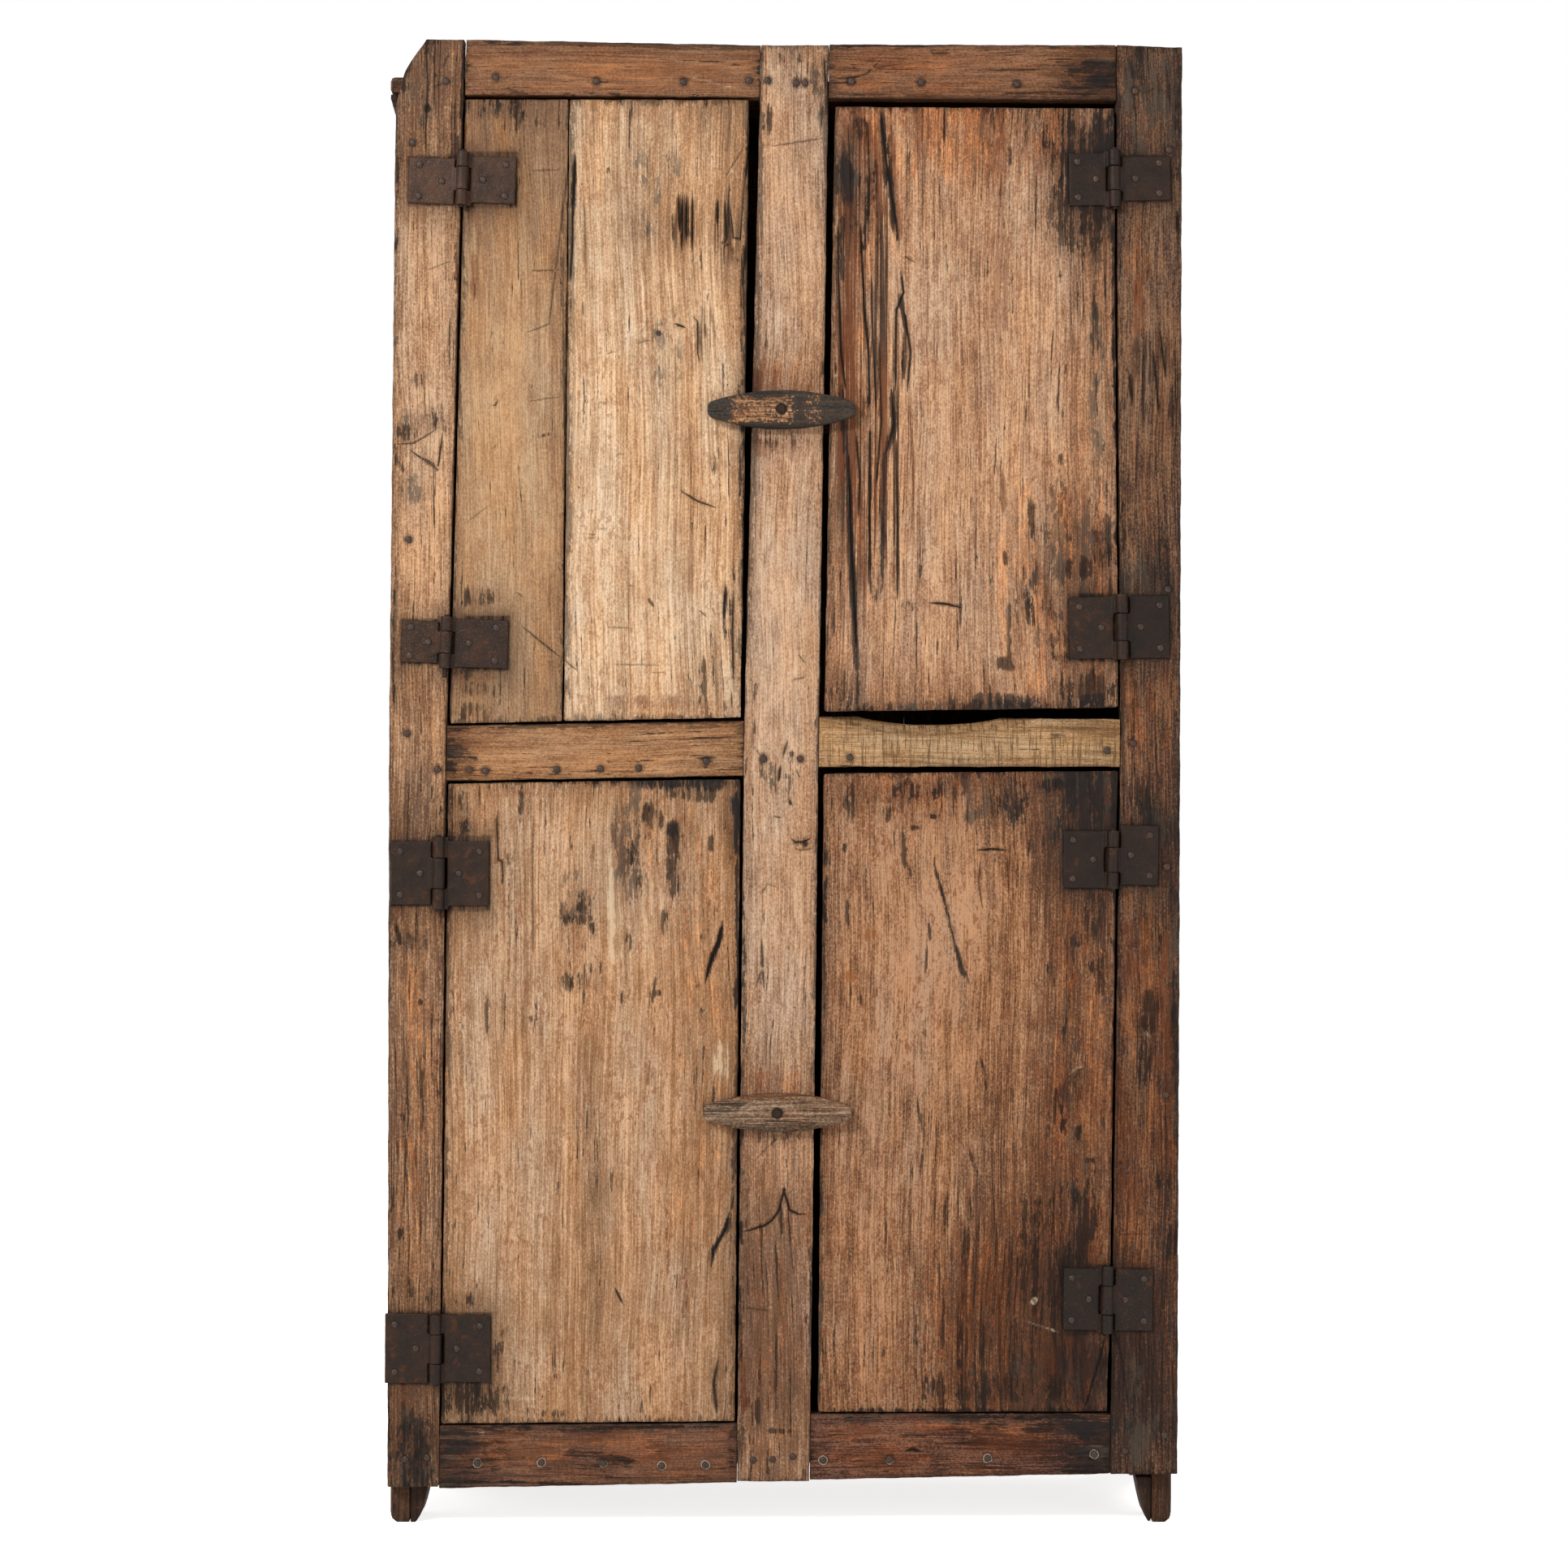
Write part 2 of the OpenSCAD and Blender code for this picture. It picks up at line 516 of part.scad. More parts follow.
// Outlines of the sides, seen from the front
function side_outline(outer, direction, top) = [
    [outer[0] + direction * foot_wear, 0], [outer[0] + direction * side_t, 0],
    [outer[1] + direction * side_t, knee_h], [outer[2] + direction * side_t,
        top - direction * side_t * tilt], [outer[2], top], [outer[1], knee_h],
    [outer[0], foot_wear], [outer[0] + direction * foot_wear * 0.3, foot_wear * 0.3]];
tilt = (top_board_drop[1] - top_board_drop[0]) / (2 * half_w);
left_side_outline = side_outline(
    [side_left(0), side_left(knee_h), side_left(side_top[0])], 1, side_top[0]);
right_side_outline = side_outline(
    [side_right(0), side_right(knee_h), side_right(side_top[1])], -1, side_top[1]);

// The arch between the feet of a side: a wide cylinder lying along X
module foot_arch() {
    half = (inner_back_y - carcass_y) / 2 - foot_d;
    r = (half * half + arch_h * arch_h) / (2 * arch_h);
    translate([-case_w, seam_y, arch_h - r]) rotate([0, 90, 0])
        cylinder(h = 2 * case_w, r = r, $fn = 96);
}

module side_plank(outline, y, depth, points) {
    color(brown_wood) difference() {
        plate(outline, y, depth);
        foot_arch();
        front_holes(points);
        side_holes();
        top_holes();
    }
}

front_plank_d = seam_y - plank_gap / 2 - carcass_y;
back_plank_y = seam_y + plank_gap / 2;
back_plank_d = inner_back_y - back_plank_y;
module left_side_front_plank() {
    side_plank(left_side_outline, carcass_y, front_plank_d, left_side_pts);
}
module left_side_back_plank() {
    side_plank(left_side_outline, back_plank_y, back_plank_d, []);
}
module right_side_front_plank() {
    side_plank(right_side_outline, carcass_y, front_plank_d, right_side_pts);
}
module right_side_back_plank() {
    side_plank(right_side_outline, back_plank_y, back_plank_d, []);
}

module top_board() {
    ends = [side_left(top_board_z[0]) - top_overhang, side_right(top_board_z[1])];
    color(dark_wood) difference() {
        plate([for (c = [[0, -1], [1, -1], [1, 1], [0, 1]])
            [ends[c[0]], board_z(top_board_z, ends[c[0]]) + c[1] * board_t / 2]],
            carcass_y, back_y - carcass_y);
        front_holes(row_pts(0));
        top_holes();
    }
}

module inner_board(v, points) {
    color(brown_wood) difference() {
        plate(board_outline(v, board_t), carcass_y, inner_back_y - carcass_y);
        front_holes(points);
        side_holes();
        back_holes();
    }
}
module middle_shelf() {
    inner_board(middle_shelf_z, row_pts(1));
}
module bottom_board() {
    inner_board(bottom_board_z, row_pts(2));
}
module loose_shelf(z) {
    color(brown_wood) plate(board_outline([z, z], shelf_t), shelf_y,
        inner_back_y - shelf_y);
}
module upper_shelf() {
    loose_shelf(upper_shelf_z);
}
module lower_shelf() {
    loose_shelf(lower_shelf_z);
}

// A pair of cleats, at the left and the right, that carries the board v
module cleat_pair(v, t, y) {
    for (s = [1, -1]) {
        z = (s > 0 ? v[0] : v[1]) - t / 2;
        x = s > 0 ? inside_left(z) : inside_right(z);
        under = [for (u = [x, x + s * cleat[1]]) board_z(v, u) - t / 2 - seat];
        low = under[0] - cleat[0];
        low_x = s > 0 ? inside_left(low) : inside_right(low);
        plate([[low_x, low], [low_x + s * cleat[1], low],
            [x + s * cleat[1], under[1]], [x, under[0]]], y, inner_back_y - y);
    }
}
module shelf_cleats() {
    color(dark_wood) {
        cleat_pair(middle_shelf_z, board_t, carcass_y);
        cleat_pair([upper_shelf_z, upper_shelf_z], shelf_t, shelf_y);
        cleat_pair([lower_shelf_z, lower_shelf_z], shelf_t, shelf_y);
    }
}

// Back plank number i of three, standing under the top board
module back_plank(i) {
    left = back_start(i, side_top[0]);
    right = back_end(i, side_top[0]);
    color(brown_wood) difference() {
        plate([[back_start(i, back_low_z), back_low_z],
            [back_end(i, back_low_z), back_low_z], [back_end(i, knee_h), knee_h],
            [right, under_top(right)], [left, under_top(left)],
            [back_start(i, knee_h), knee_h]], back_y - back_t, back_t);
        back_holes();
        top_holes();
    }
}
module back_plank_left() {
    back_plank(0);
}
module back_plank_middle() {
    back_plank(1);
}
module back_plank_right() {
    back_plank(2);
}

// Hollow moulding under the overhang of the top board, along the left side
module top_cove() {
    drop = 3 * top_overhang;
    lip = top_overhang * 0.6;
    w = top_overhang - 1;
    x = [for (z = [side_top[0], side_top[0] - drop]) side_left(z) - seat];
    color(dark_wood) translate([0, inner_back_y, 0]) rotate([90, 0, 0])
        linear_extrude(inner_back_y - carcass_y) difference() {
            polygon([[x[0] - w, side_top[0] - tilt * top_overhang], [x[0], side_top[0]],
                [x[1], side_top[0] - drop], [x[1] - w * 0.2, side_top[0] - drop],
                [x[0] - w, side_top[0] - lip]]);
            translate([x[0] - w - drop * 0.6, side_top[0] - drop - lip * 1.4])
                circle(r = drop * 0.72, $fn = 96);
        }
}

// Blocks inside the feet, which bulge towards the room under the cupboard
foot_bulge = 0.6;
module foot_blocks() {
    top = min(bottom_board_z) - board_t / 2 - foot_block[1];
    steps = 6;
    for (k = [0, 1], y = [carcass_y, inner_back_y - foot_block[0]]) {
        s = k == 0 ? 1 : -1;
        inner = [for (n = [0:steps]) let(z = top * n / steps,
            w = mix(foot_block_low[k], foot_block_top[k], pow(n / steps, foot_bulge)))
            [(s > 0 ? inside_left(z) : inside_right(z)) + s * w, z]];
        outer = [for (z = [top, 0]) [s > 0 ? inside_left(z) : inside_right(z), z]];
        color(dark_wood) plate(concat(inner, outer), y, foot_block[0]);
    }
}

// ---- Face frame ----

// A frame board with the holes for its own nails
module frame_board(outline, points) {
    difference() {
        plate(outline, front_y, frame_t);
        front_holes(points);
    }
}

// The worn corner's outline, as shares of its width and of its height
corner_shape = [[1, 0], [0.8, 0.05], [0.68, 0.14], [0.58, 0.21], [0.22, 0.44],
    [0.19, 0.63], [0.05, 0.75], [0, 1]];
module left_stile() {
    z = stile_foot[0];
    corner = [for (c = corner_shape) let(down = frame_h - c[1] * corner_wear[1])
        [left_outer(down) + c[0] * corner_wear[0], down]];
    color(pale_wood) difference() {
        frame_board(concat([[left_outer(z), z], [left_inner(z), z],
            [left_inner(knee_h), knee_h], [left_inner(frame_h), frame_h]], corner,
            [[left_outer(knee_h), knee_h]]),
            concat(left_side_pts, left_pts(0), left_pts(1), left_pts(2)));
        for (i = [0, 2], e = [0, 1]) frame_leaf_holes(i, e);
    }
}
module centre_stile() {
    z = stile_foot[1];
    top = frame_h - stile_drop[0];
    color(pale_wood) difference() {
        frame_board([[centre_left(z), z], [centre_right(z), z],
            [centre_right(knee_h), knee_h], [centre_right(top), top],
            [centre_left(top), top], [centre_left(knee_h), knee_h]],
            concat(centre_pts(0), centre_pts(1), centre_pts(2)));
        for (i = [0, 1]) rod_y(pivot_point(i), front_y - 1, frame_t + 2,
            pivot_r[0] + pivot_fit);
    }
}
module right_stile() {
    z = stile_foot[2];
    top = [for (drop = stile_drop) frame_h - drop];
    color(brown_wood) difference() {
        frame_board([[right_inner(z), z], [right_outer(z), z],
            [right_outer(knee_h), knee_h], [right_outer(top[2]), top[2]],
            [right_inner(top[1]), top[1]], [right_inner(knee_h), knee_h]],
            concat(right_side_pts, right_pts(0), right_pts(1), right_pts(2)));
        for (i = [1, 3], e = [0, 1]) frame_leaf_holes(i, e);
    }
}
module rail(i, tint) {
    color(tint) frame_board(rail_outline(i), rail_pts(i));
}
module top_left_rail() {
    rail(0, red_wood);
}
module top_right_rail() {
    rail(1, red_wood);
}
module middle_left_rail() {
    rail(2, brown_wood);
}

// The waney edge is a wide cylinder that rises to the back, so that the face
// loses most
module middle_right_rail() {
    rise = atan2(wane[1] - wane[2], frame_t);
    r = (wane[0] * wane[0] / 4 + wane[1] * wane[1]) / (2 * wane[1] * cos(rise));
    top = (rails[3][2] + rails[3][3]) / 2;
    difference() {
        rail(3, brown_wood);
        translate([rail_start(3, top) + wane_at, front_y, top - wane[1]])
            rotate([rise - 90, 0, 0]) translate([0, -r, -2 * frame_t])
                cylinder(h = 5 * frame_t, r = r, $fn = 128);
    }
}
module bottom_left_rail() {
    rail(4, red_wood);
}
module bottom_right_rail() {
    rail(5, red_wood);
}
module frame_nails() {
    color(iron) for (p = concat(row_pts(0), row_pts(1), row_pts(2), left_side_pts,
        right_side_pts)) into_front(p, front_y) nail_down(frame_nail_l);
}
module carcass_nails() {
    color(iron) {
        for (b = inner_boards, y = side_nail_y, direction = [1, -1])
            into_side(b, y, direction) nail_down(side_nail_l);
        for (i = [0:2], p = back_pts(i))
            into_back(p, back_y) nail_down(back_t + nail_bite);
        for (p = top_nail_pts) on_top(p) nail_down(top_nail_l);
    }
}

// ---- Hinges: drawn round the pin, with the door's leaf towards +X ----
module at_hinge(i, e) {
    translate([axes[i][e][0], axis_y, axes[i][e][1]]) rotate([0, lean(i), 0])
        mirror([side(i) > 0 ? 0 : 1, 0, 0]) children();
}
module leaf(size, knuckles) {
    difference() {
        union() {
            translate([leaf_start, leaf_face, size[2] - size[1] / 2])
                cube([size[0] - leaf_start, leaf_t, size[1]]);
            for (k = knuckles) {
                translate([0, 0, k[0]]) cylinder(h = k[1] - k[0], r = barrel_r);
                translate([0, leaf_face - barrel_play, k[0]])
                    cube([leaf_start + leaf_clear, leaf_t, k[1] - k[0]]);
            }
        }
        translate([0, 0, -size[1]]) cylinder(h = 2 * size[1], r = pin_r + pin_fit);
        leaf_holes(size);
    }
}
module leaf_holes(size) {
    for (p = leaf_nails(size)) into_front(p, leaf_face) hole_down(leaf_nail_l);
}
// The frame leaf has the middle knuckle, and the door leaf the two outer ones
module frame_leaf(i, e) {
    m = barrel_l(i, e) * middle_knuckle / 2;
    color(iron) at_hinge(i, e) mirror([1, 0, 0])
        leaf(frame_leaf_size(i, e), [[-m, m]]);
}
module door_leaf(i, e) {
    m = barrel_l(i, e) * middle_knuckle / 2 + barrel_play;
    end = barrel_l(i, e) / 2;
    color(iron) at_hinge(i, e) leaf(door_leaf_size(i, e), [[-end, -m], [m, end]]);
}
module frame_leaf_holes(i, e) {
    at_hinge(i, e) mirror([1, 0, 0]) leaf_holes(frame_leaf_size(i, e));
}
module leaf_nail_set(size) {
    for (p = leaf_nails(size)) into_front(p, leaf_face) nail_down(leaf_nail_l);
}
module upper_left_top_frame_leaf() {
    frame_leaf(0, 1);
}
module upper_left_bottom_frame_leaf() {
    frame_leaf(0, 0);
}
module upper_right_top_frame_leaf() {
    frame_leaf(1, 1);
}
module upper_right_bottom_frame_leaf() {
    frame_leaf(1, 0);
}
module lower_left_top_frame_leaf() {
    frame_leaf(2, 1);
}
module lower_left_bottom_frame_leaf() {
    frame_leaf(2, 0);
}
module lower_right_top_frame_leaf() {
    frame_leaf(3, 1);
}
module lower_right_bottom_frame_leaf() {
    frame_leaf(3, 0);
}
module upper_left_top_door_leaf() {
    door_leaf(0, 1);
}
module upper_left_bottom_door_leaf() {
    door_leaf(0, 0);
}
module upper_right_top_door_leaf() {
    door_leaf(1, 1);
}
module upper_right_bottom_door_leaf() {
    door_leaf(1, 0);
}
module lower_left_top_door_leaf() {
    door_leaf(2, 1);
}
module lower_left_bottom_door_leaf() {
    door_leaf(2, 0);
}
module lower_right_top_door_leaf() {
    door_leaf(3, 1);
}
module lower_right_bottom_door_leaf() {
    door_leaf(3, 0);
}
module hinge_pins() {
    color(iron) for (i = [0:3], e = [0, 1]) at_hinge(i, e) {
        below = e > 0 ? pin_out : bottom_pin_out[i];
        translate([0, 0, -barrel_l(i, e) / 2 - below])
            cylinder(h = barrel_l(i, e) + below + pin_out, r = pin_r);
    }
}
module frame_leaf_nails() {
    color(iron) for (i = [0:3], e = [0, 1]) at_hinge(i, e) mirror([1, 0, 0])
        leaf_nail_set(frame_leaf_size(i, e));
}

// ---- Doors ----
module door_board(i, outline, tint) {
    color(tint) difference() {
        plate(outline, front_y, door_t);
        for (e = [0, 1]) at_hinge(i, e) leaf_holes(door_leaf_size(i, e));
        ledge_holes(i);
    }
}
module door_ledges(i) {
    color(brown_wood) difference() {
        for (e = [0, 1]) plate(ledge_outline(i, e), ledge_y, ledge[1]);
        ledge_holes(i);
    }
}
module door_nails(i) {
    color(iron) {
        for (e = [0, 1]) at_hinge(i, e) leaf_nail_set(door_leaf_size(i, e));
        for (p = ledge_pts(i)) into_back(p, ledge_y + ledge[1]) nail_down(ledge_nail_l);
    }
}
module upper_left_door_hinge_board() {
    door_board(0, [doors[0][0], seam[0], seam[1], doors[0][3]], brown_wood);
}
module upper_left_door_latch_board() {
    door_board(0, [seam[0] + [seam_gap, 0], doors[0][1], doors[0][2],
        seam[1] + [seam_gap, 0]], pale_wood);
}
module upper_right_door_board() {
    door_board(1, doors[1], brown_wood);
}
module lower_left_door_board() {
    door_board(2, doors[2], brown_wood);
}
module lower_right_door_board() {
    door_board(3, doors[3], red_wood);
}
module upper_left_door_ledges() {
    door_ledges(0);
}
module upper_right_door_ledges() {
    door_ledges(1);
}
module lower_left_door_ledges() {
    door_ledges(2);
}
module lower_right_door_ledges() {
    door_ledges(3);
}
module upper_left_door_nails() {
    door_nails(0);
}
module upper_right_door_nails() {
    door_nails(1);
}
module lower_left_door_nails() {
    door_nails(2);
}
module lower_right_door_nails() {
    door_nails(3);
}

// ---- Turn buttons: a lens outline with a crowned front and a flat back ----
function pivot_point(i) = [along(centre_stile_x, button_z[i]) + button_shift[i],
    button_z[i]];
module button_outline() {
    sag = (button_h[0] - button_h[1]) / 2;
    r = (button_l * button_l / 4 + sag * sag) / (2 * sag);
    intersection() {
        translate([0, button_h[0] / 2 - r]) circle(r = r, $fn = 180);
        translate([0, r - button_h[0] / 2]) circle(r = r, $fn = 180);
        circle(r = button_l / 2, $fn = 96);
    }
}
module turn_button(i, tint) {
    crown = button_t[0] - button_t[1];
    r = (button_h[0] * button_h[0] / 4 + crown * crown) / (2 * crown);
    color(tint) translate([pivot_point(i)[0], front_y - button_gap, pivot_point(i)[1]])
        difference() {
            intersection() {
                rotate([90, 0, 0]) linear_extrude(button_t[0]) button_outline();
                translate([-button_l, r - button_t[0], 0]) rotate([0, 90, 0])
                    cylinder(h = 2 * button_l, r = r, $fn = 96);
            }
            rod_y([0, 0], -button_t[0] - 1, button_t[0] + 2, pivot_r[0] + pivot_fit);
        }
}
module upper_turn_button() {
    turn_button(0, dark_wood);
}
module lower_turn_button() {
    turn_button(1, brown_wood);
}
module turn_button_pivots() {
    y = front_y - button_gap - button_t[0] - pivot_fit;
    color(iron) for (i = [0, 1]) {
        rod_y(pivot_point(i), y, button_t[0] + button_gap + frame_t - 2, pivot_r[0]);
        into_front(pivot_point(i), y)
            cylinder(h = nail_head_h, r1 = pivot_r[1], r2 = pivot_r[1] * 0.7);
    }
}

left_side_front_plank();
left_side_back_plank();
right_side_front_plank();
right_side_back_plank();
top_board();
middle_shelf();
bottom_board();
upper_shelf();
lower_shelf();
shelf_cleats();
back_plank_left();
back_plank_middle();
back_plank_right();
top_cove();
foot_blocks();
left_stile();
centre_stile();
right_stile();
top_left_rail();
top_right_rail();
middle_left_rail();
middle_right_rail();
bottom_left_rail();
bottom_right_rail();
frame_nails();
carcass_nails();
upper_left_door_hinge_board();
upper_left_door_latch_board();
upper_right_door_board();
lower_left_door_board();
lower_right_door_board();
upper_left_door_ledges();
upper_right_door_ledges();
lower_left_door_ledges();
lower_right_door_ledges();
upper_left_door_nails();
upper_right_door_nails();
lower_left_door_nails();
lower_right_door_nails();
upper_left_top_frame_leaf();
upper_left_bottom_frame_leaf();
upper_right_top_frame_leaf();
upper_right_bottom_frame_leaf();
lower_left_top_frame_leaf();
lower_left_bottom_frame_leaf();
lower_right_top_frame_leaf();
lower_right_bottom_frame_leaf();
upper_left_top_door_leaf();
upper_left_bottom_door_leaf();
upper_right_top_door_leaf();
upper_right_bottom_door_leaf();
lower_left_top_door_leaf();
lower_left_bottom_door_leaf();
lower_right_top_door_leaf();
lower_right_bottom_door_leaf();
hinge_pins();
frame_leaf_nails();
upper_turn_button();
lower_turn_button();
turn_button_pivots();
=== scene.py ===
"""An old plank armoire: worn boards, forged butt hinges and turn buttons on the packed frame."""

import json
import math

import bpy
import numpy as np
from bpy.props import FloatProperty, FloatVectorProperty, PointerProperty
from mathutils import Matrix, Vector

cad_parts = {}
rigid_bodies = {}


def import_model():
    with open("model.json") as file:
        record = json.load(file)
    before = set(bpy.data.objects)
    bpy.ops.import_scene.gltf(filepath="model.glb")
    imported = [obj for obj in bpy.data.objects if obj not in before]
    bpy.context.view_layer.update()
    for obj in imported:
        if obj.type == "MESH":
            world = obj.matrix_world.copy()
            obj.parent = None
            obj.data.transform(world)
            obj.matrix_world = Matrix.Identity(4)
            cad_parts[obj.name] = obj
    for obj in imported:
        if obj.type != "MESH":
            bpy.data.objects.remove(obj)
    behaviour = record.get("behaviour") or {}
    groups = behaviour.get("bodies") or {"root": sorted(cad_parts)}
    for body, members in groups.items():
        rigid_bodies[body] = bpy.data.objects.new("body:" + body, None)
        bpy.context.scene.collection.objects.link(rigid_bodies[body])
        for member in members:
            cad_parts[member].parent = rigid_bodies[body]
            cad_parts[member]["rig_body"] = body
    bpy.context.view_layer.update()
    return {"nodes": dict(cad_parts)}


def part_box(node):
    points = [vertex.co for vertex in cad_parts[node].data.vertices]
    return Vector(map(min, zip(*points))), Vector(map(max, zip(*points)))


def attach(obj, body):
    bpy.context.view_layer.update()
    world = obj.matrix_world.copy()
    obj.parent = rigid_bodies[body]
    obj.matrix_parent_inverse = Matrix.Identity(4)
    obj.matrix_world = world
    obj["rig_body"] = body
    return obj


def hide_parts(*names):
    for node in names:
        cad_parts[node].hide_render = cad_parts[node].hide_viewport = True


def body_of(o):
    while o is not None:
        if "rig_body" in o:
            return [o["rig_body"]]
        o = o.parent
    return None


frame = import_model()

bl_info = {
    "name": "Old plank armoire",
    "version": (1, 0, 0),
    "blender": (4, 5, 0),
    "location": "3D View > Sidebar > Armoire",
    "description": "Dresses a four-door plank armoire with worn wood, forged iron and its stage",
    "category": "Object",
}

MM = 0.001
WELD = 1e-5
TONES = ("dark", "body", "pale")

STILES = ("left_stile", "centre_stile", "right_stile")
RAILS = ("top_left_rail", "top_right_rail", "middle_left_rail", "middle_right_rail",
         "bottom_left_rail", "bottom_right_rail")
DOOR_BOARDS = ("upper_left_door_hinge_board", "upper_left_door_latch_board",
               "upper_right_door_board", "lower_left_door_board", "lower_right_door_board")
DOORS = ("upper_left", "upper_right", "lower_left", "lower_right")
PLANKS = ("left_side_front_plank", "left_side_back_plank", "right_side_front_plank",
          "right_side_back_plank", "back_plank_left", "back_plank_middle", "back_plank_right")
SHELVES = ("top_board", "middle_shelf", "bottom_board", "upper_shelf", "lower_shelf")
FRONT_BOARDS = STILES + RAILS + DOOR_BOARDS
# Sides (0 left, 1 right) that fit tightly against the next board, where not both of a rail
TIGHT_SIDES = {"upper_left_door_hinge_board": (1,), "upper_left_door_latch_board": (0,),
               "top_left_rail": (1,)}

# How a board's outline is read. Lengths here and below are in metres where nothing else is said.
LEVEL = 1e-5                         # how far from its plane a point still lies on a flat face
SIDE_SAMPLES = 241
END_SAMPLES = 161
END_SHARES = (.03, .97)              # where a rail's or a door's ends are read, across it
STILE_END_SHARES = (.6, .9)          # and a stile's, clear of its worn corner
STILE_MARGIN = 3 * MM                # how near its ends a stile's sides are read
RAIL_MARGIN = (.14, 14 * MM)         # and a lower board's, as a share of its height or less
WORN_FROM = .9                       # share of its height where a stile's worn corner may start
WORN_BELOW = .15                     # length below it that its side is carried on from
CARRY_ON = .2                        # how far the edges are carried on past their ends
SETTLE_ROUNDS = 8                    # in which a place between leaning edges is found

# The worn boards
GRID_RIM = (0, .6, 1.4, 2.6, 4.4)    # mm from a board's edge to the rows of its mesh by it
RING_SHARES = (.16, .84)             # of a board's thickness, from one ring of its edge on
ARRIS_SWING = .45                    # share by which an edge's rounding varies
ARRIS_WAVE = .16                     # longest wave of that rounding
EDGE_WAVE = .11                      # and of the edge's line
EDGE_DEPTH = 5 * MM                  # how far in from an edge its line is felt
TIGHT_ARRIS = .3                     # share of the rounding where boards fit tightly
RAIL_TUCK = 1.1 * MM                 # how far a rail runs on into a stile's uneven edge
DOOR_CORNER = 3.2 * MM
BOARD_CORNER = 1.4 * MM
RIDGE_HEIGHT = .35                   # mm, of the ridges between furrows
RIDGE_WAVE = .03
DENT_RIM = 3 * MM                    # how far in from the edges a dent reaches its depth
EDGE_DIRT_AND_SHADE = 6 * MM                   # how far in the dirt and painted shade along the edges reach
FAINT_EDGE_DARKENING = .4                      # share of that darkening on the newest rail

# The marks
STROKES = ("dark", "blue", "red", "pale", "rust", "gouge")
ZONE_KINDS = ("varnish", "ink", "furrow")
ZONE_RIM = (1.45, 1.1)               # where a zone ends and over what it fades, in half widths
SPOT_RIM = (1.7, 1.3)
WIDEST_CRACK = 3.2                   # mm
SHORTEST_CRACK = 4 * MM
LONGEST_TAPER = 25 * MM
CRACK_FADE = 1.4 * MM                # over which a crack's sides end
CRACK_PARTING = 1.5 * MM             # between the sides of two cracks
THINNEST_STROKE = .95 * MM           # half of it
GOUGE_SHARE = 3.4                    # how many times wider a gouge's stroke is than its half

# The grime and painted shade round the iron: how strong, how strong the painted contact shadow
# right at it is and how far that reaches, and how much shorter distances count below it
GRIME_AND_SHADE = .8
SEAT_SHADOW = 1.2
SEAT_SHADE = 3.2 * MM
GRIME_AND_SHADE_BELOW = .6
NAIL_REACH = 12.                     # mm past a nail's rim, where nothing is made of it
FAR_FROM_NAILS = 9.                  # mm, what iron without nails in it is told

# Each finish: the wood where it is dark, its body, and where it is rubbed pale
FINISHES = {
    "upper_left_door_hinge_board": ("82624a", "a6815f", "c3a17d"),
    "upper_left_door_latch_board": ("ab8463", "cda884", "e6c8a8"),
    "upper_right_door_board": ("8d684e", "b98f70", "d4af8d"),
    "lower_left_door_board": ("95704f", "b48d6c", "d2af8e"),
    "lower_right_door_board": ("6c4a36", "976e4f", "b88f6f"),
    "left_stile": ("7a5a44", "a88262", "d0aa88"),
    "centre_stile": ("8a6850", "b89477", "d6b598"),
    "right_stile": ("42302a", "71543f", "967257"),
    "top_left_rail": ("6b4834", "855e44", "9d7454"),
    "top_right_rail": ("62432f", "80583e", "976c50"),
    "middle_left_rail": ("7c573d", "9d7451", "b98f69"),
    "middle_right_rail": ("8c6947", "a9875f", "c2a07a"),
    "bottom_left_rail": ("5d4234", "795644", "957159"),
    "bottom_right_rail": ("4b3229", "704c3c", "8e6650"),
    "carcass": ("4f392b", "6f503b", "8e6b54"),
    # The side, feet and cove tones are darkened as painted shade as well: the feet and side planks
    # for the shadow at the foot of the frame, the cove for the shadow under the top board's
    # overhang
    "side": ("35261d", "4f3829", "6d503d"),
    "inside": ("4f3929", "70533a", "8d6e50"),
    "feet": ("281c15", "3d2c22", "594234"),
    "cove": ("241c18", "372b25", "50423a"),
    "upper_turn_button": ("5a3c29", "926a4c", "c09773"),
    "lower_turn_button": ("56402f", "7d624d", "a98f76"),
}
STAIN_COLOURS = {
    "soot": ("231a16", "Old soot and grease, dark brown"),
    "ink": ("231f1e", "Blue-black weather stain"),
    "slate": ("4d463d", "Grey weathered wood"),
    "tannin": ("6f3c22", "Red-brown stain"),
    "scrape": ("e0c6a4", "Freshly rubbed pale wood"),
    "rust": ("9a5a2c", "Rust bled into the wood"),
    "varnish": ("844b29", "Old orange-brown varnish"),
    "iron": ("291c14", "Forged iron, oiled by handling"),
    "iron_rust": ("5e3a26", "Rust bloom on the iron"),
    "iron_worn": ("5f5248", "Iron rubbed bright"),
    "floor": ("f4f3f1", "Studio floor"),
}
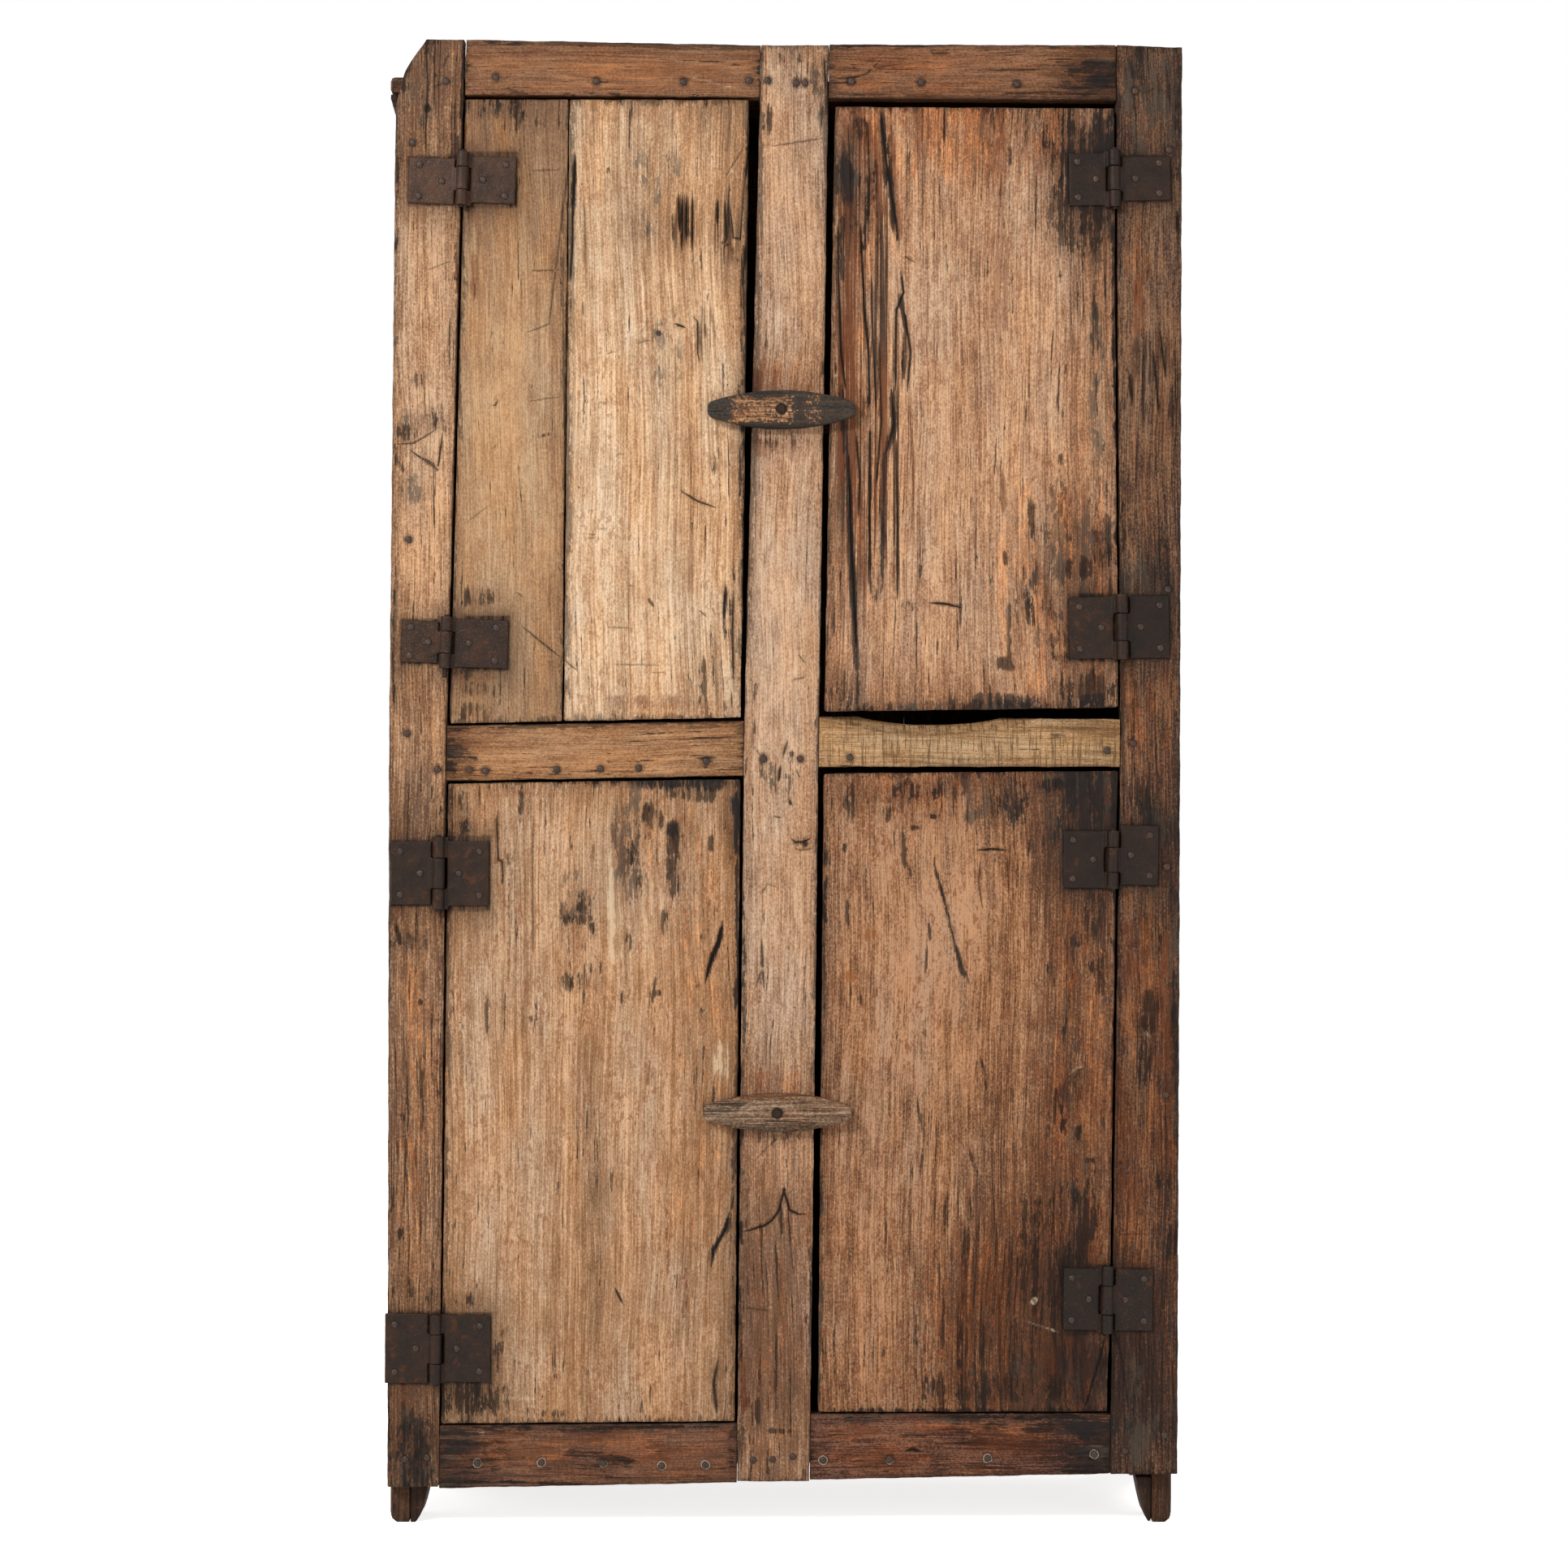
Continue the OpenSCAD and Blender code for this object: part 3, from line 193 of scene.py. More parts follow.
# Broad soft changes of tone: half width and half height in mm, paler (+) or darker (-), u, v
WASHES = {
    "upper_left_door_hinge_board": [
        (90, 60, -.6, .5, 1), (60, 60, -.5, .1, .86), (60, 110, .2, .7, .45),
        (55, 60, -.4, .2, .1), (40, 40, -.2, .9, .02), (120, 120, .12, .4, .55)],
    "upper_left_door_latch_board": [
        (140, 42, -.55, .5, 1), (55, 150, -.45, .95, .88), (45, 330, .3, .2, .35),
        (28, 190, -.4, 1, .3), (60, 60, -.25, .62, .78), (90, 30, -.3, .6, 0),
        (60, 90, .2, .8, .62), (30, 60, -.35, 1, .5)],
    "upper_right_door_board": [
        (190, 50, -.45, .5, 1), (50, 260, -.5, 1, .8), (50, 120, -.6, 1, .16),
        (190, 40, -.45, .5, 0), (80, 260, .22, .4, .5), (30, 200, -.35, 0, .55),
        (60, 90, -.25, .75, .93)],
    "lower_left_door_board": [
        (190, 45, -.45, .5, 1), (60, 80, -.4, 0, .85), (55, 80, -.7, 0, .08),
        (90, 160, .3, .45, .9), (120, 300, .1, .5, .4), (20, 400, -.3, 1, .5)],
    "lower_right_door_board": [
        (190, 30, -.3, .5, 1), (60, 90, -.8, 1, .9), (120, 260, .35, .25, .75),
        (90, 200, .25, .15, .2), (120, 130, -.95, .8, .08), (100, 140, -.55, .55, .22),
        (50, 200, -.15, 1, .4)],
    "left_stile": [
        (70, 120, -.9, .5, 1), (60, 70, .3, .6, .84), (60, 230, .3, .6, .68),
        (60, 80, -.35, .4, .56), (60, 110, -.6, .5, .42), (70, 230, -.5, .5, .22),
        (70, 130, -.8, .5, .04)],
    "centre_stile": [
        (60, 40, -.35, .5, 1), (50, 110, .3, .5, .88), (60, 60, -.45, .5, .76),
        (60, 330, .35, .5, .6), (60, 200, -.1, .5, .42), (60, 260, -.95, .5, .1),
        (50, 70, -.3, .5, .28)],
    "right_stile": [
        (60, 70, -.1, .5, .96), (60, 160, .3, .4, .8), (60, 110, -.2, .5, .62),
        (60, 90, -.3, .5, .47), (60, 150, -.35, .5, .28), (60, 150, -.8, .5, .07)],
    "top_left_rail": [(60, 20, -.2, 0, .5), (60, 25, .2, .75, .5)],
    "top_right_rail": [(60, 60, -.6, 1, .5), (120, 20, .15, .2, .6)],
    "middle_left_rail": [(40, 60, -.7, 0, .5), (120, 30, .2, .5, .5), (40, 40, -.3, 1, .3)],
    "middle_right_rail": [(60, 40, -.3, 1, .5), (120, 25, .2, .45, .4)],
    "bottom_left_rail": [(50, 60, -.6, 0, .4), (60, 30, .25, .8, .6), (30, 40, -.3, 1, .4)],
    "bottom_right_rail": [(80, 60, -.5, 1, .4), (80, 30, .35, .25, .6)],
}

# Broad regions where the boards are varnished orange, blackened, or furrowed along the grain:
# kind, half width and half height in mm, strength, u, v
ZONES = {
    "upper_left_door_hinge_board": [
        ("varnish", 60, 90, .4, .25, .9),
        ("ink", 26, 30, .6, .16, .1), ("ink", 40, 14, .5, .3, .985)],
    "upper_left_door_latch_board": [
        ("furrow", 20, 40, .6, .64, .8), ("furrow", 18, 46, .8, .88, .79),
        ("ink", 60, 70, .3, .45, .85), ("furrow", 12, 50, .6, .78, .62),
        ("ink", 10, 90, .7, 1, .35),
        ("varnish", 90, 14, .5, .55, .01), ("ink", 40, 60, .25, .55, .6)],
    "upper_right_door_board": [
        ("furrow", 42, 330, 1, .11, .6), ("furrow", 26, 130, 1, .24, .38),
        ("ink", 34, 95, .9, .95, .87),
        ("varnish", 190, 60, .9, .4, .96), ("ink", 26, 70, .7, .04, .86),
        ("varnish", 75, 150, .75, .8, .2),
        ("ink", 60, 120, .45, .82, .22), ("ink", 34, 34, .8, .92, .28),
        ("ink", 190, 11, .8, .5, .0),
        ("varnish", 30, 300, .5, .12, .6), ("ink", 24, 160, .4, .97, .55)],
    "lower_left_door_board": [
        ("ink", 75, 9, 1, .76, .995), ("ink", 16, 60, .9, .98, .94), ("ink", 26, 80, .62, .63, .9),
        ("ink", 17, 55, .55, .43, .8), ("varnish", 60, 330, .3, .85, .5),
        ("ink", 26, 70, .7, .12, .07),
        ("varnish", 80, 60, .35, .8, .9), ("ink", 12, 40, .5, .06, .93),
        ("ink", 12, 170, .4, 1, .3)],
    "lower_right_door_board": [
        ("ink", 150, 34, .55, .5, .96), ("ink", 60, 85, .95, .88, .93),
        ("varnish", 60, 340, .75, .92, .42),
        ("ink", 48, 290, .32, .88, .5), ("ink", 130, 60, .25, .6, .04),
        ("varnish", 120, 40, .5, .4, .97),
        ("ink", 10, 330, .5, 0, .6), ("varnish", 100, 120, .45, .55, .12),
        ("ink", 45, 60, .8, .9, .05)],
    "centre_stile": [
        ("varnish", 60, 28, .6, .5, .765), ("varnish", 60, 230, .5, .5, .13),
        ("varnish", 50, 20, .7, .5, .278), ("ink", 16, 40, .6, .9, .97),
        ("ink", 10, 500, .35, 0, .3)],
    "left_stile": [
        ("ink", 44, 60, .4, .35, .97), ("ink", 40, 16, .6, .5, .735), ("ink", 26, 20, .5, .3, .69),
        ("ink", 60, 60, .9, .5, .02), ("varnish", 60, 260, .35, .5, .3),
        ("ink", 30, 16, .5, .4, .375),
        ("varnish", 20, 60, .4, .9, .84)],
    "right_stile": [
        ("ink", 60, 90, .6, .5, .96), ("furrow", 34, 62, 1, .6, .765),
        ("varnish", 40, 130, .45, .5, .53),
        ("ink", 34, 50, .9, .5, .44), ("varnish", 60, 330, .9, .5, .26),
        ("ink", 12, 330, .8, 1, .35),
        ("ink", 60, 90, .4, .5, .03), ("varnish", 40, 60, .25, .4, .84),
        ("ink", 30, 60, .7, .5, .62)],
    "top_left_rail": [("varnish", 150, 22, .4, .5, .4)],
    "top_right_rail": [("ink", 60, 30, .85, .96, .5), ("varnish", 130, 30, .5, .3, .5)],
    "middle_left_rail": [("ink", 30, 34, .8, .01, .4), ("varnish", 180, 14, .3, .5, .2)],
    "bottom_left_rail": [("varnish", 190, 40, .8, .6, .6), ("ink", 60, 40, .9, .04, .4),
                         ("ink", 190, 9, .7, .5, .98)],
    "bottom_right_rail": [("varnish", 160, 34, .85, .4, .55), ("ink", 90, 40, .9, .97, .45),
                          ("ink", 190, 10, .7, .5, .98)],
}
# What time has left on each board: kind of mark, then (width mm, strength, u, v, u, v ...)
# for a stroke, or (half width mm, half height mm, strength, u, v) for a soft patch,
# with u across and v up the board in thousandths
MARKS = {
    "upper_left_door_hinge_board": {
        "dark_spot": [(34, 16, .55, 175, 987), (20, 20, .35, 628, 974), (25, 10, .5, 206, 202),
            (22, 10, .35, 160, 20)],
        "split": [(.9, .5, 634, 885, 940, 886), (.9, .6, 646, 724, 947, 725),
            (1, .6, 606, 624, 836, 638, 1020, 644), (.8, .6, 537, 780, 543, 704),
            (.8, .5, 651, 515, 970, 522), (.7, .45, 104, 320, 314, 349),
            (1.2, .9, 321, 508, 351, 509, 377, 518), (1.3, .8, 608, 157, 853, 120, 986, 101),
            (.8, .6, 571, 209, 639, 200)],
        "dark": [(3, .5, 586, 463, 746, 457, 972, 468), (3, .4, 295, 432, 428, 454)],
        "blue_spot": [(16, 9, .4, 221, 55)],
        "red_spot": [(25, 40, .4, 275, 717)],
    },
    "upper_left_door_latch_board": {
        "split": [(3.2, 1, 34, 918, 35, 882, 26, 826, 24, 767, 15, 703),
            (1, .6, 88, 846, 97, 762, 94, 723), (1, .7, 85, 675, 90, 651),
            (1, .6, 16, 683, 21, 655),
            (1.4, .9, 898, 828, 923, 776, 961, 774, 980, 828),
            (2.2, 1, 1004, 1000, 1009, 944, 1005, 904, 996, 848, 984, 800),
            (1, .6, 871, 873, 983, 892), (2.4, .95, 693, 651, 728, 641, 730, 589, 744, 575),
            (1.2, .7, 770, 639, 773, 615), (.8, .5, 377, 606, 467, 612),
            (.9, .6, 218, 589, 267, 594),
            (.8, .45, 280, 429, 335, 428), (.8, .45, 129, 339, 164, 338),
            (.8, .45, 193, 309, 237, 308), (.8, .45, 130, 301, 172, 300),
            (.8, .45, 130, 295, 169, 294), (.8, .45, 232, 150, 385, 148),
            (.8, .45, 485, 76, 562, 75),
            (.8, .45, 268, 90, 554, 87), (.8, .45, 348, 217, 393, 216),
            (.8, .45, 173, 512, 229, 511),
            (2, .9, 635, 370, 740, 351, 852, 339), (1.4, .7, 753, 175, 798, 164),
            (1.2, .7, -4, 100, 73, 81)],
        "dark": [(5, .8, 31, 906, 30, 850, 27, 803), (4, .5, 570, 825, 589, 765),
            (14, .45, 652, 841, 655, 761), (5, .5, 923, 772, 935, 720),
            (6, .9, 1026, 988, 1029, 928),
            (3, .5, 123, 551, 178, 567), (3, .6, 453, 200, 505, 180), (3, .8, 945, 262, 947, 210),
            (3.5, .9, 902, 222, 893, 158, 916, 110), (4, .8, 926, 210, 937, 102, 954, 41),
            (6, .7, 838, 142, 850, 30), (8, .6, 770, 111, 781, 6), (8, .5, 701, 83, 697, 7),
            (5, .6, 868, 102, 857, 10)],
        "gouge": [(3, .95, 613, 849, 620, 785), (3, .95, 635, 849, 635, 753),
            (3, .95, 660, 849, 658, 765), (3, .95, 691, 849, 694, 753), (4, .9, 831, 839, 830, 797),
            (4, .9, 873, 839, 883, 776, 869, 756), (5, .8, 855, 769, 900, 764),
            (1.8, .95, 597, 638, 666, 631), (3, .9, 990, 652, 989, 608),
            (3, .8, 902, 218, 893, 158),
            (2, .8, 947, 210, 943, 142, 953, 61)],
        "dark_spot": [(3, 3, .9, 511, 623), (4, 4, .7, 227, 885), (4, 12, .5, 821, 410)],
        "blue": [(5, .95, 983, 418, 983, 362, 997, 285, 1012, 181, 1010, 101, 1003, 9)],
        "red": [(14, .4, 186, 30, 549, 28, 969, 17)],
        "pale": [(6, .8, 936, 70, 943, 33)],
    },
    "upper_right_door_board": {
        "blue": [(14, .9, 41, 930, 53, 824), (6, .95, 192, 907, 222, 784),
            (6, .8, 27, 835, 38, 701),
            (6, .85, 38, 546, 67, 385, 82, 264, 104, 103, 121, 2),
            (4, .8, 132, 545, 143, 465, 145, 324, 148, 223, 166, 167),
            (7, .8, 217, 545, 225, 473, 193, 412, 187, 320, 192, 243, 175, 167),
            (5, .75, 313, 343, 326, 263, 308, 179), (9, .6, 250, 176, 317, 171),
            (12, .6, 480, 20, 729, 10, 995, 14)],
        "dark": [(13, .75, 91, 994, 101, 937), (9, .95, 163, 998, 186, 912, 200, 850),
            (9, .8, 100, 900, 120, 820, 110, 740), (6, .85, 140, 930, 150, 840, 170, 770),
            (5, .9, 235, 700, 266, 630, 255, 540), (5, .7, 627, 946, 630, 898),
            (14, .6, 804, 794, 879, 754), (5, .75, 991, 778, 997, 372), (6, .5, 858, 747, 872, 693),
            (8, .75, 701, 362, 704, 261), (8, .75, 693, 204, 701, 123), (7, .6, 751, 214, 757, 142),
            (12, .7, 853, 317, 844, 269), (24, .75, 861, 258, 869, 208),
            (16, .75, 965, 280, 969, 217),
            (3, .75, 686, 520, 678, 451), (5, .6, 805, 427, 808, 402), (9, .6, 774, 112, 762, 58),
            (12, .5, 521, 80, 701, 72), (4, .6, 561, 302, 567, 248), (4, .5, 443, 262, 449, 235),
            (4, .6, 611, 267, 617, 234), (14, .35, 645, 194, 646, 59), (4, .6, 15, 344, 28, 130),
            (5, .5, 46, 250, 61, 143)],
        "red": [(26, .8, 90, 985, 110, 900, 150, 800), (9, .85, 195, 970, 215, 870, 235, 770),
            (10, .7, 18, 692, 55, 547), (9, .5, 30, 975, 66, 948), (5, .7, 602, 403, 608, 318),
            (8, .4, 363, 370, 378, 303), (30, .25, 584, 936, 615, 612)],
        "split": [(2.8, 1, 19, 811, 23, 716, 36, 595, 56, 528),
            (2.8, 1, 97, 811, 116, 668, 133, 595, 143, 465),
            (2.6, 1, 225, 787, 253, 692, 228, 662, 229, 528),
            (2.4, .95, 254, 667, 281, 595, 269, 524),
            (1.8, 1, 391, 1001, 392, 934), (1, .6, 566, 1002, 572, 952),
            (.7, .4, 318, 1001, 317, 787),
            (1.6, .7, 252, 753, 295, 741), (2.7, 1, 68, 425, 85, 264, 107, 103),
            (2.2, .95, 92, 465, 109, 384, 105, 317), (2.5, 1, 142, 505, 145, 324, 151, 220),
            (2.2, .95, 234, 451, 240, 317, 244, 180), (2.2, .9, 215, 532, 225, 473, 198, 424),
            (1, .7, 48, 975, 64, 841, 60, 733), (2.2, .9, 170, 612, 182, 478, 166, 371),
            (2.4, .95, 164, 995, 180, 930, 195, 885, 227, 800, 242, 720),
            (2, .9, 120, 960, 128, 880, 122, 800), (2, .9, 140, 720, 148, 620, 164, 490)],
        "blue_spot": [(56, 50, .8, 932, 929), (20, 24, .6, 59, 36)],
        "dark_spot": [(40, 45, .75, 873, 825), (40, 22, .5, 758, 963), (36, 20, .75, 895, 30)],
        "gouge": [(3, .95, 350, 178, 411, 176, 467, 169)],
    },
    "lower_left_door_board": {
        "blue": [(13, 1, 635, 1000, 830, 996, 992, 990), (12, 1, 985, 986, 991, 927, 991, 883),
            (5, .85, 993, 883, 994, 742, 993, 631),
            (6, .95, 945, 783, 931, 746, 903, 716, 884, 680),
            (5, .85, 880, 767, 875, 744), (7, .9, 976, 329, 962, 299, 923, 268, 914, 237),
            (8, .9, 944, 101, 927, 61, 938, 9)],
        "dark": [(14, .6, 708, 982, 830, 978, 952, 973), (5, .6, 343, 1000, 635, 1000),
            (14, .7, 684, 977, 689, 917), (16, .75, 774, 939, 771, 884, 773, 802),
            (10, .65, 721, 962, 722, 917), (8, .6, 629, 914, 634, 862),
            (6, .45, 662, 862, 659, 810),
            (8, .6, 752, 810, 741, 751), (9, .6, 944, 964, 945, 909), (7, .5, 900, 916, 901, 883),
            (3, .5, 418, 930, 427, 882), (5, .65, 487, 722, 496, 694), (3, .5, 722, 706, 699, 640),
            (6, .85, 722, 675, 727, 661), (3, .6, 601, 677, 602, 648), (6, .5, 140, 679, 146, 598),
            (5, .6, 197, 690, 195, 579), (8, .55, 278, 690, 263, 597), (4, .5, 291, 642, 291, 619),
            (3, .5, 185, 864, 193, 835), (12, .3, 228, 901, 221, 857), (4, .4, 296, 834, 298, 730),
            (3, .6, 289, 908, 291, 879), (6, .5, 477, 58, 472, 36), (10, .6, 191, 140, 175, 59),
            (6, .5, 23, 258, 23, 195), (4, .45, 110, 226, 123, 190), (5, .45, 220, 154, 206, 131),
            (8, .4, 243, 18, 487, 13)],
        "red": [(12, .4, 60, 987, 344, 986), (5, .7, 503, 911, 491, 863),
            (5, .4, 542, 477, 542, 220),
            (9, .4, 814, 341, 828, 129), (5, .4, 542, 202, 539, 130), (10, .6, 825, 34, 815, 14),
            (5, .5, 545, 67, 550, 44), (7, .3, 645, 490, 661, 129), (6, .3, 753, 467, 767, 219)],
        "blue_spot": [(9, 8, .95, 770, 924)],
        "dark_spot": [(12, 14, .7, 469, 811), (18, 7, .65, 445, 783), (5, 8, .75, 498, 770),
            (20, 11, .65, 447, 687), (4, 7, .65, 472, 744), (5, 12, .7, 620, 751),
            (4, 5, .6, 562, 613), (5, 8, .55, 873, 635), (9, 18, .5, 263, 968),
            (18, 16, .5, 24, 971),
            (22, 13, .55, 58, 930), (50, 22, .8, 81, 39), (22, 9, .6, 82, 193)],
        "gouge": [(6, 1, 945, 783, 931, 746, 903, 716, 884, 680),
            (5, .9, 976, 329, 962, 299, 923, 268, 914, 237), (6, .8, 944, 101, 927, 61, 938, 9)],
        "split": [(1.8, .9, 173, 957, 170, 942, 176, 879, 188, 877, 193, 842),
            (1, .6, 293, 953, 295, 834, 298, 730), (1.4, .8, 991, 353, 976, 322),
            (2.8, .95, 586, 211, 616, 184), (1.1, .8, 712, 62, 710, 21),
            (1.3, .8, 683, 35, 678, 12),
            (2.4, .95, 258, 352, 258, 350), (2.4, .95, 228, 313, 229, 311),
            (2.4, .95, 284, 285, 284, 283), (2.4, .95, 195, 235, 195, 233),
            (2.4, .95, 64, 206, 64, 203), (2.4, .95, 958, 208, 958, 206),
            (2.4, .95, 452, 143, 452, 141), (2.4, .95, 238, 118, 238, 115),
            (2.4, .95, 258, 108, 258, 105), (2.4, .95, 274, 109, 274, 106),
            (2.4, .95, 217, 93, 217, 90), (2.4, .95, 251, 67, 251, 65),
            (2.4, .95, 259, 56, 259, 53),
            (2.4, .95, 245, 51, 245, 48), (2.4, .95, 232, 32, 232, 29),
            (2.4, .95, 290, 32, 290, 29)],
        "pale": [(14, .5, 540, 892, 575, 781, 584, 707), (18, .6, 942, 602, 945, 520),
            (14, .3, 347, 838, 349, 752), (4, .5, 144, 41, 350, 37)],
        "red_spot": [(20, 22, .35, 366, 712), (8, 25, .55, 959, 653), (4, 20, .6, 981, 561),
            (8, 12, .5, 693, 542), (8, 12, .65, 965, 875)],
    },
    "lower_right_door_board": {
        "blue_spot": [(48, 53, .85, 927, 949), (26, 42, .7, 972, 773), (20, 34, .65, 630, 951),
            (10, 18, .65, 775, 894), (25, 20, .35, 53, 38)],
        "dark": [(7, .65, 5, 995, -4, 841, 1, 660, 0, 389), (6, .8, 318, 934, 417, 929),
            (5, .75, 284, 914, 353, 913), (10, .5, 55, 981, 16, 918), (12, .5, 234, 957, 195, 917),
            (4, .7, 76, 895, 72, 872), (9, .35, 553, 870, 672, 851),
            (6, .55, 274, 926, 280, 862, 316, 821), (5, .7, 13, 846, 8, 814),
            (5, .5, 9, 778, 5, 733),
            (3, .5, 634, 784, 645, 739), (4, .5, 557, 703, 583, 658), (4, .65, 130, 660, 136, 628),
            (4, .6, 180, 668, 185, 646), (3.5, .75, 531, 567, 561, 531, 573, 481),
            (4, .6, 323, 510, 349, 433), (4, .6, 505, 414, 536, 373), (3, .45, 642, 504, 638, 463),
            (12, .7, 775, 711, 797, 657), (10, .55, 828, 634, 820, 566),
            (10, .65, 944, 728, 951, 656, 988, 610), (12, .5, 864, 756, 865, 719),
            (5, .75, 915, 710, 916, 679), (14, .6, 781, 521, 824, 431), (6, .5, 971, 498, 963, 453),
            (9, .55, 883, 453, 884, 408), (16, .6, 935, 399, 935, 385),
            (8, .45, 989, 574, 999, 498),
            (3.5, .65, 520, 408, 546, 364, 522, 329), (14, .65, 956, 384, 941, 249),
            (5, .6, 5, 2, 443, 2, 988, 2), (8, .5, 827, 481, 829, 415),
            (5, .5, 335, 487, 351, 422)],
        "red": [(22, .55, 25, 977, 273, 962, 569, 992, 857, 977), (8, .6, 904, 349, 930, 249)],
        "dark_spot": [(22, 20, .55, 105, 954), (30, 12, .55, 322, 971), (26, 9, .75, 787, 977),
            (34, 71, .55, 775, 284), (96, 20, .6, 540, 38), (30, 56, .6, 887, 288),
            (40, 45, .5, 826, 210), (61, 40, .35, 441, 102)],
        "blue": [(12, .75, 715, 905, 716, 869), (5, .65, 654, 869, 665, 811),
            (4, .8, 141, 867, 147, 822, 158, 772), (4, .6, 83, 809, 91, 750),
            (4.5, .8, 374, 862, 416, 798, 447, 739, 478, 690, 513, 662),
            (4, .75, 356, 785, 374, 726),
            (10, .4, 117, 278, 108, 217), (4, .5, 227, 107, 223, 77)],
        "gouge": [(2.4, .85, 518, 877, 572, 879, 632, 877)],
        "split": [(1.2, .75, 538, 870, 532, 829, 545, 784), (1.4, .7, 627, 874, 634, 811),
            (1.1, .8, 441, 988, 444, 925), (1.1, .7, 560, 983, 575, 947, 586, 915),
            (1.2, .7, 379, 857, 418, 798, 449, 739, 480, 689), (2.4, .95, 391, 643, 391, 640),
            (2.4, .95, 723, 628, 723, 625), (2.4, .95, 398, 469, 398, 466),
            (2.4, .95, 30, 383, 30, 380), (2.4, .95, 851, 588, 851, 585),
            (1.8, 1, 989, 122, 952, 56, 915, 0), (1, .6, 810, 258, 836, 188, 828, 157),
            (.9, .5, 705, 193, 733, 250, 794, 310)],
        "rust_spot": [(9, 6, 1, 164, 747), (6, 6, 1, 98, 682)],
        "rust": [(5, .6, 156, 768, 158, 750), (3, .9, 532, 320, 541, 272)],
        "pale": [(1.5, .8, 851, 528, 870, 535, 895, 539), (5, 1, 728, 166, 751, 180),
            (2, .5, 692, 145, 838, 122)],
        "red_spot": [(28, 40, .7, 908, 74)],
    },
    "left_stile": {
        "split": [(1.6, .85, 441, 994, 478, 970, 466, 951, 452, 936, 464, 920),
            (1.1, .6, 692, 980, 760, 989), (.9, .5, 535, 966, 725, 970),
            (.9, .5, 503, 840, 888, 847),
            (2, .95, 815, 729, 772, 713, 739, 703, 496, 710, 267, 717),
            (1.2, .8, 41, 720, 358, 721, 761, 732), (2, .9, 235, 67, 236, 66),
            (2, .9, 426, 63, 426, 62), (2, .9, 752, 65, 752, 63), (2, .9, 881, 179, 881, 178),
            (2, .9, 471, 174, 471, 172), (2, .9, 464, 270, 464, 269), (2, .9, 374, 47, 374, 46),
            (2, .9, 353, 786, 354, 785), (2, .9, 573, 747, 574, 746)],
        "dark_spot": [(4, 5, 1, 477, 952), (6, 3, .7, 888, 834), (9, 11, .5, 443, 765),
            (10, 10, .45, 716, 744), (14, 10, .75, 210, 728), (14, 8, .5, 613, 735),
            (3, 4, .95, 586, 335), (4, 6, .95, 279, 255), (4, 5, .9, 281, 255),
            (4, 8, .9, 236, 175)],
        "dark": [(6, .5, 27, 867, 37, 853), (2, .5, 408, 504, 455, 466),
            (2, .5, 551, 506, 579, 468),
            (3, .6, 759, 489, 723, 468), (3, .6, 885, 481, 913, 456), (5, .5, 132, 391, 219, 371),
            (8, .4, 9, 341, 140, 308), (14, .4, 211, 153, 482, 125), (6, .5, 13, 69, 24, 5)],
        "gouge": [(3, .8, 738, 704, 495, 711)],
        "blue": [(5, .6, 71, 713, 236, 699), (12, .6, 909, 141, 698, 123)],
        "blue_spot": [(26, 26, .6, 388, 31), (30, 12, .6, 503, 7)],
        "red_spot": [(20, 14, .4, 383, 63)],
    },
    "centre_stile": {
        "dark": [(8, .75, 139, 962, 125, 944, 96, 932), (6, .5, 283, 996, 329, 984),
            (5, .5, 581, 996, 582, 986), (5, .5, 29, 996, 43, 982), (3, .6, 606, 474, 653, 470),
            (3, .5, 112, 484, 137, 476), (3, .5, 336, 480, 413, 479), (2.5, .6, 858, 410, 877, 402),
            (4, .5, 149, 534, 133, 506), (8, .5, 131, 562, 104, 540), (6, .45, 880, 715, 868, 698),
            (5, .5, 23, 37, 902, 34)],
        "split": [(1.1, .65, 159, 929, 964, 935), (1.8, .85, 920, 994, 955, 968),
            (1, .6, 913, 960, 889, 936), (2.2, .85, 584, 516, 526, 504),
            (2, .7, 591, 476, 664, 470),
            (2, .7, 407, 463, 511, 462), (2.6, .95, 639, 448, 704, 445, 800, 445, 914, 448),
            (1.2, .6, 693, 441, 781, 439, 953, 441), (3.2, .85, 266, 379, 284, 357, 309, 341),
            (1.6, .7, 284, 357, 184, 343), (1.1, .55, 231, 407, 344, 416, 478, 413),
            (1.4, .6, 701, 496, 759, 489), (1.3, .6, 177, 510, 217, 505),
            (2.6, 1, 28, 174, 149, 175, 335, 178, 444, 182, 541, 189, 572, 197, 603, 203, 638, 197,
             684, 189, 805, 186, 936, 186), (.9, .5, 46, 121, 435, 119),
            (1, .5, 519, 240, 197, 223),
            (1.3, .6, 701, 576, 812, 569), (1.3, .6, 642, 558, 815, 560),
            (2, .9, 405, 213, 405, 212),
            (2, .9, 759, 27, 759, 25)],
        "red_spot": [(36, 22, .55, 404, 764), (36, 18, .45, 432, 721), (15, 14, .6, 327, 280)],
        "dark_spot": [(32, 12, .35, 430, 726), (5, 4, .95, 846, 444), (26, 30, .4, 489, 492),
            (16, 9, .4, 819, 446), (30, 10, .4, 488, 240)],
        "gouge": [(4, .9, 496, 499, 470, 486)],
        "blue": [(6, .6, 623, 509, 662, 504)],
        "red": [(12, .75, 53, 93, 99, 45), (18, .4, 822, 127, 837, 71)],
    },
    "right_stile": {
        "split": [(2.6, .95, 660, 802, 712, 782, 766, 766), (3, .95, 553, 788, 605, 765, 645, 741),
            (2.2, .85, 204, 773, 213, 746), (1, .5, 361, 965, 607, 971),
            (1.2, .6, 743, 990, 815, 959),
            (1.6, .75, 26, 102, 156, 82, 276, 43), (.9, .45, 51, 168, 791, 168),
